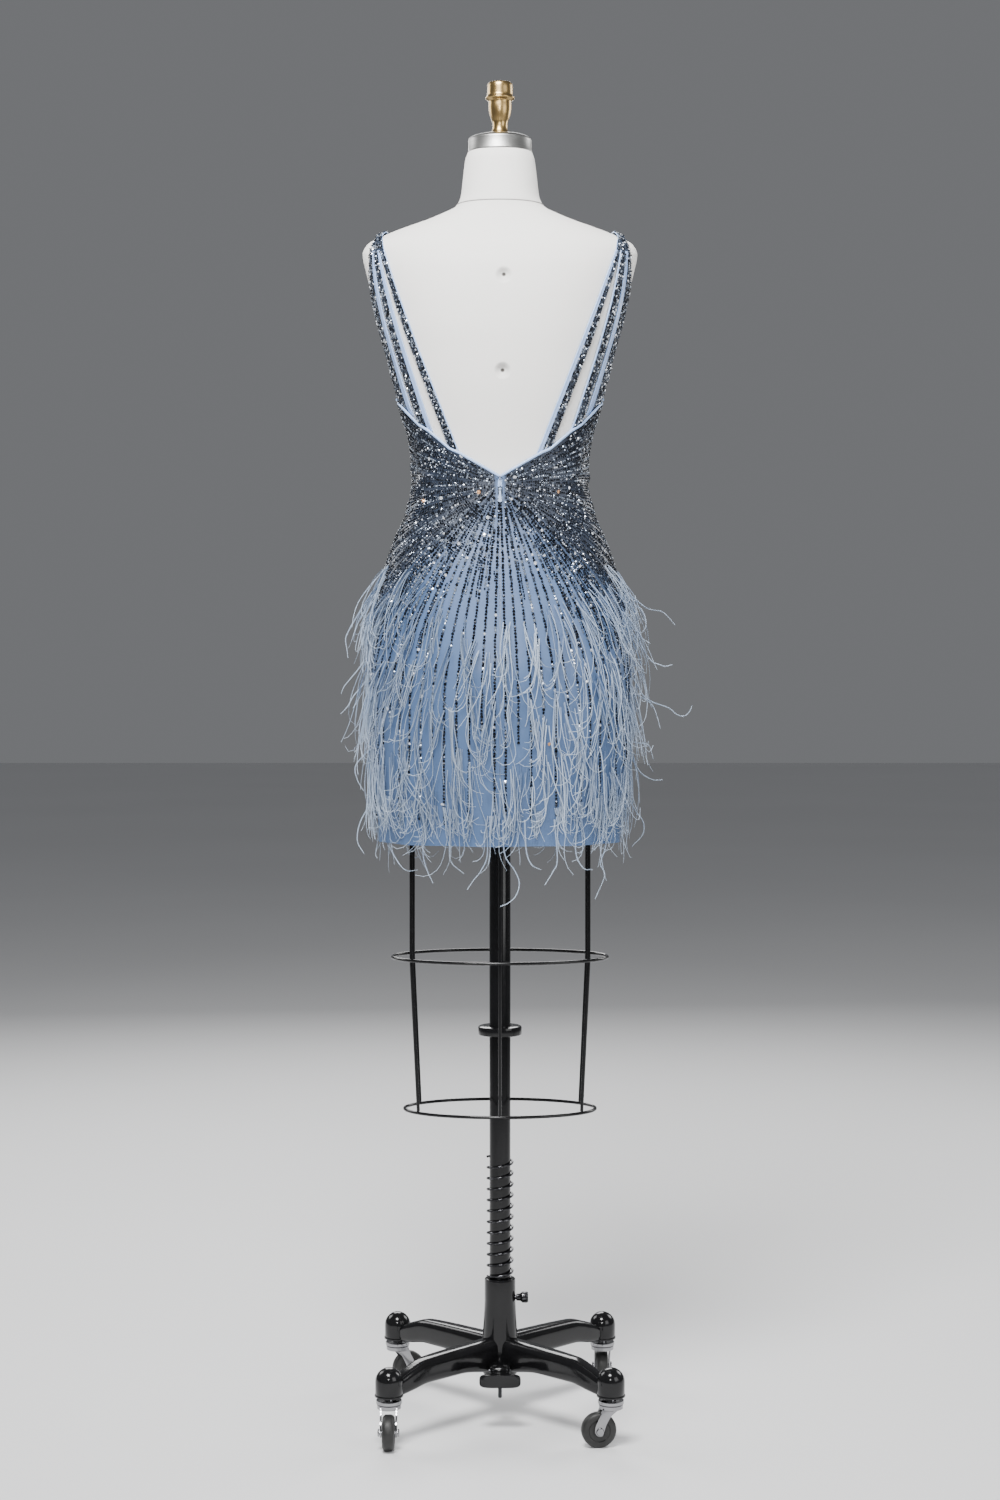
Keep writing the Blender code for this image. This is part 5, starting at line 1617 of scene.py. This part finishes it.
def base_casting():
    """Hub, four arms with their domes and lips, and the pedal's two lugs, cast in one."""
    hub = turned("hub", ((0.0146, HUB_FLOOR), (0.0146, 0.1790), (0.0152, 0.1814), (0.0165, HUB_TOP),
                         (0.0190, HUB_TOP), (0.0202, 0.1810), (0.0205, 0.1790), (0.0205, 0.1520),
                         (0.0211, 0.1400), (0.0229, 0.1100), (0.0235, 0.1000), (0.0245, 0.0640),
                         (0.0240, 0.0580), (0.0222, 0.0552), (0.0190, 0.0550), (0.0060, 0.0550),
                         (0.0060, 0.0590), (0.0146, HUB_FLOOR)), 56, ring=True)
    parts = [hub]
    arm = base_arm()
    climb = [math.radians(d) for d in (0, 12, 24, 36, 48, 60, 72, 83)]
    round_top = [(DOME * math.cos(a), DOME_TOP - DOME + DOME * math.sin(a)) for a in climb]
    dome = turned("dome_pattern", [(0.0150, DOME_BOTTOM), (DOME - 0.0008, DOME_BOTTOM),
                                   (DOME, DOME_BOTTOM + 0.0010), *round_top, (0.0004, DOME_TOP)], 40)
    low, middle, high = DOME_LIP
    lip = turned("lip_pattern", ((0.0150, low), (DOME + 0.0004, low), (DOME + 0.0008, middle),
                                 (DOME + 0.0004, high), (0.0150, high)), 40)
    for name, sx, sy, _ in CASTERS:
        spin = Matrix.Rotation(math.atan2(sy, sx), 4, "Z")
        place = Matrix.Translation((sx * DOME_REACH, sy * DOME_REACH, 0.0))
        parts.append(copy_of(arm, "arm_" + name, spin))
        parts.append(copy_of(dome, "dome_" + name, place))
        parts.append(copy_of(lip, "lip_" + name, place))
    for pattern in (arm, dome, lip):
        bpy.data.objects.remove(pattern)
    y, z = PEDAL_AXIS
    for side in (-1, 1):
        low, high = sorted((side * 0.0095, side * 0.0135))
        parts.append(block("lug", (low, 0.015, z - 0.0065), (high, y + 0.006, z + 0.0065), 0.0014))
    base = weld_pieces("cast_base", parts)
    shade(base, 40.0)
    finish_piece(base, "base", CAST, ["base_casting"])


def thumb_screw():
    """The clamp's screw on the hub's side, with its round knob."""
    screw = turned("thumb_screw", ((0.0028, 0.0152), (0.0030, 0.0156), (0.0030, 0.0215), (0.0045, 0.0222),
                                   (0.0050, 0.0270), (0.0060, 0.0284), (0.0066, 0.0290), (0.0072, 0.0296),
                                   (0.0073, 0.0352), (0.0070, 0.0366), (0.0060, 0.0375), (0.0020, 0.0375)),
                   36, place=(0, 0, CLAMP_HEIGHT), lay=(0.0, -math.pi / 2, 0.0))
    finish_piece(screw, "clamp", OILED, ["clamp_screw"])


def pedal_plate():
    """The tread, drawn out of a small block and widened on the way, then rounded over its front edge."""
    y = PEDAL_AXIS[0]
    middle = PEDAL_LOW + 0.003
    clear_selection()
    bpy.ops.mesh.primitive_cube_add(size=1, location=(0, y + 0.0068, middle))
    plate = named("pedal_plate")
    plate.scale = (0.017, 0.0066, 0.006)
    settle(plate)
    bpy.ops.object.mode_set(mode="EDIT")
    for far, wide in ((y + 0.024, 0.042), (y + 0.030, 0.054), (0.0800, 0.054), (0.0830, 0.048),
                      (0.0840, 0.042)):
        shape = bmesh.from_edit_mesh(plate.data)
        front = max(shape.faces, key=lambda f: f.calc_center_median().y + (f.normal.y > 0.9))
        for face in shape.faces:
            face.select_set(False)
        front.select_set(True)
        corners = [v.co for v in front.verts]
        width = max(c.x for c in corners) - min(c.x for c in corners)
        gone = far - corners[0].y
        bmesh.update_edit_mesh(plate.data)
        bpy.ops.mesh.extrude_region_move(TRANSFORM_OT_translate={"value": (0, gone, 0)})
        bpy.ops.transform.resize(value=(wide / width, 1, 1), center_override=(0, far, middle))
    bpy.ops.object.mode_set(mode="OBJECT")
    soften(face_outward(plate), 0.0011)
    return shade(plate)


def pedal_lip():
    """The raised front edge of the tread."""
    z = PEDAL_AXIS[1] - 0.002
    near, low, high = PEDAL_LIP
    count = 28
    turn = 2 * math.pi * (np.arange(count) + 0.5) / count
    x = 0.027 * rounded(np.cos(turn), 0.42)
    up = (low + high) / 2 + (high - low) / 2 * rounded(np.sin(turn), 0.55)
    layers = [np.stack((x * share, np.full(count, far), z + (up - z) * share), axis=1)
              for far, share in ((near, 0.90), (near + 0.0012, 1.0), (0.0826, 1.0), (0.0843, 0.90))]
    return shade(loft("pedal_lip", np.array(layers)), 50.0)


def foot_pedal():
    """Eye, plate and lip in one casting, with its stop bolt below and the pin that it turns on."""
    y, z = PEDAL_AXIS
    lay = (0, math.pi / 2, 0)
    eye = turned("pedal_eye", ((0.0025, -0.0091), (0.0055, -0.0091), (0.0055, 0.0091), (0.0025, 0.0091),
                               (0.0025, -0.0091)), 32, ring=True, place=(0, y, z), lay=lay, edge=0.0005)
    pedal = weld_pieces("cast_pedal", [eye, pedal_plate(), pedal_lip()])
    finish_piece(pedal, "pedal", CAST, ["foot_pedal"])
    bolt = turned("stop_bolt", ((0.0020, 0.0421), (0.0025, 0.0428), (0.0026, 0.0440),
                                (0.0026, PEDAL_LOW - 0.0052), (0.0043, PEDAL_LOW - 0.0044),
                                (0.0045, PEDAL_LOW - 0.0038), (0.0045, PEDAL_LOW - GAP)), 28,
                  place=(0, y + 0.030, 0))
    finish_piece(bolt, "pedal", OILED, ["pedal_bolt"])
    pin = turned("pedal_pin", ((0.0018, -0.0150), (0.0022, -0.0146), (0.0022, 0.0146), (0.0018, 0.0150)), 28,
                 place=(0, y, z), lay=lay)
    finish_piece(pin, "base", OILED, ["pedal_pivot"])


# Casters

def caster_patterns():
    """One caster at the origin with its wheel trailing along +X."""
    stem = turned("stem_pattern", ((0.0034, 0.0470), (0.0066, 0.0470), (0.0070, 0.0474), (0.0070, 0.0487),
                                   (0.0040, 0.0487), (0.0040, 0.0547), (0.0150, 0.0547), (0.0165, 0.0555),
                                   (0.0168, 0.0575), (0.0164, 0.0597), (0.0062, 0.0599), (0.0062, 0.0650),
                                   (0.0040, 0.0655), (0.0040, 0.0785)), 40)
    collar = turned("fork_collar", ((0.0043, 0.0492), (0.0148, 0.0490), (0.0155, 0.0496), (0.0155, 0.0538),
                                    (0.0148, 0.0544), (0.0043, 0.0544), (0.0043, 0.0492)), 40, ring=True)
    outline = smooth_line([(-0.0085, 0.0530), (0.0095, 0.0532), (0.0150, 0.0440), (0.0205, 0.0330),
                           (0.0225, 0.0235), (0.0203, 0.0180), (0.0160, 0.0161), (0.0118, 0.0180),
                           (0.0080, 0.0300), (0.0010, 0.0420), (-0.0085, 0.0500)], 40)
    middle = outline.mean(axis=0)
    fork = [collar]
    for side in (-1, 1):
        layers = []
        for depth, shrink in ((0.0088, 0.94), (0.0091, 1.0), (0.0108, 1.0), (0.0111, 0.94)):
            flat = middle + (outline - middle) * shrink
            layers.append(np.stack((flat[:, 0], np.full(len(flat), side * depth), flat[:, 1]), axis=1))
        fork.append(shade(loft(f"cheek_{side + 2}", np.array(layers)), 50.0))
    fork = weld_pieces("fork_pattern", fork)
    lay = (math.pi / 2, 0, 0)
    centre = (TRAIL, 0, AXLE_HEIGHT)
    axle = turned("axle_pattern", ((0.0020, -0.0141), (0.0044, -0.0138), (0.0050, -0.0128), (0.0050, -0.0116),
                                   (0.0030, -0.0115), (0.0030, 0.0115), (0.0050, 0.0116), (0.0050, 0.0128),
                                   (0.0044, 0.0138), (0.0020, 0.0141)), 32, place=centre, lay=lay)
    half = WHEEL_HALF
    side = ((0.0033, half), (0.0074, half), (0.0082, half - 0.0010), (0.0132, half - 0.0012),
            (0.0142, half - 0.0001), (0.0192, half - 0.0006), (0.0214, half - 0.0021), (WHEEL, half - 0.0046))
    tyre = turned("wheel_pattern", [*((r, -d) for r, d in side), *reversed(side), (side[0][0], -half)], 56,
                  ring=True, place=centre, lay=lay)
    return stem, fork, axle, tyre


def casters():
    """The four casters, each part a copy of its pattern, turned to where it swivels at rest."""
    patterns = caster_patterns()
    for name, sx, sy, degrees in CASTERS:
        place = (Matrix.Translation((sx * DOME_REACH, sy * DOME_REACH, 0.0))
                 @ Matrix.Rotation(math.radians(degrees), 4, "Z"))
        for pattern, (piece, node, body, slot) in zip(patterns, CASTER_PARTS):
            finish = RUBBER if slot == "rubber" else CHROME
            made = copy_of(pattern, f"{piece}_{name}", place)
            finish_piece(made, body.format(name), finish, [f"{node}_{name}"])
    for pattern in patterns:
        bpy.data.objects.remove(pattern)


# Making

set_camera()
set_lights()
lay_floor()
form_tree = linen_form()
panels, bindings = satin_panels()
beads = beading()
strap_rows = straps(form_tree)
zip_parts = [*zip_lips(), zip_coil(), top_hook()]
feathers()
neck_cap()
neck_seam()
neck_finial()
mast_pieces()
cage()
pole_spring()
base_casting()
thumb_screw()
foot_pedal()
casters()

for node, coat in (("zip_slider", OILED), ("zip_pull", ENAMEL)):
    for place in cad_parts[node].material_slots:
        place.material = coat

# Width, length and area of the cloth in each panel
for name, panel in panels.items():
    extra = [bindings[name], beads[name]]
    if name == "back_left":
        extra += [beads["stones"], *zip_parts]
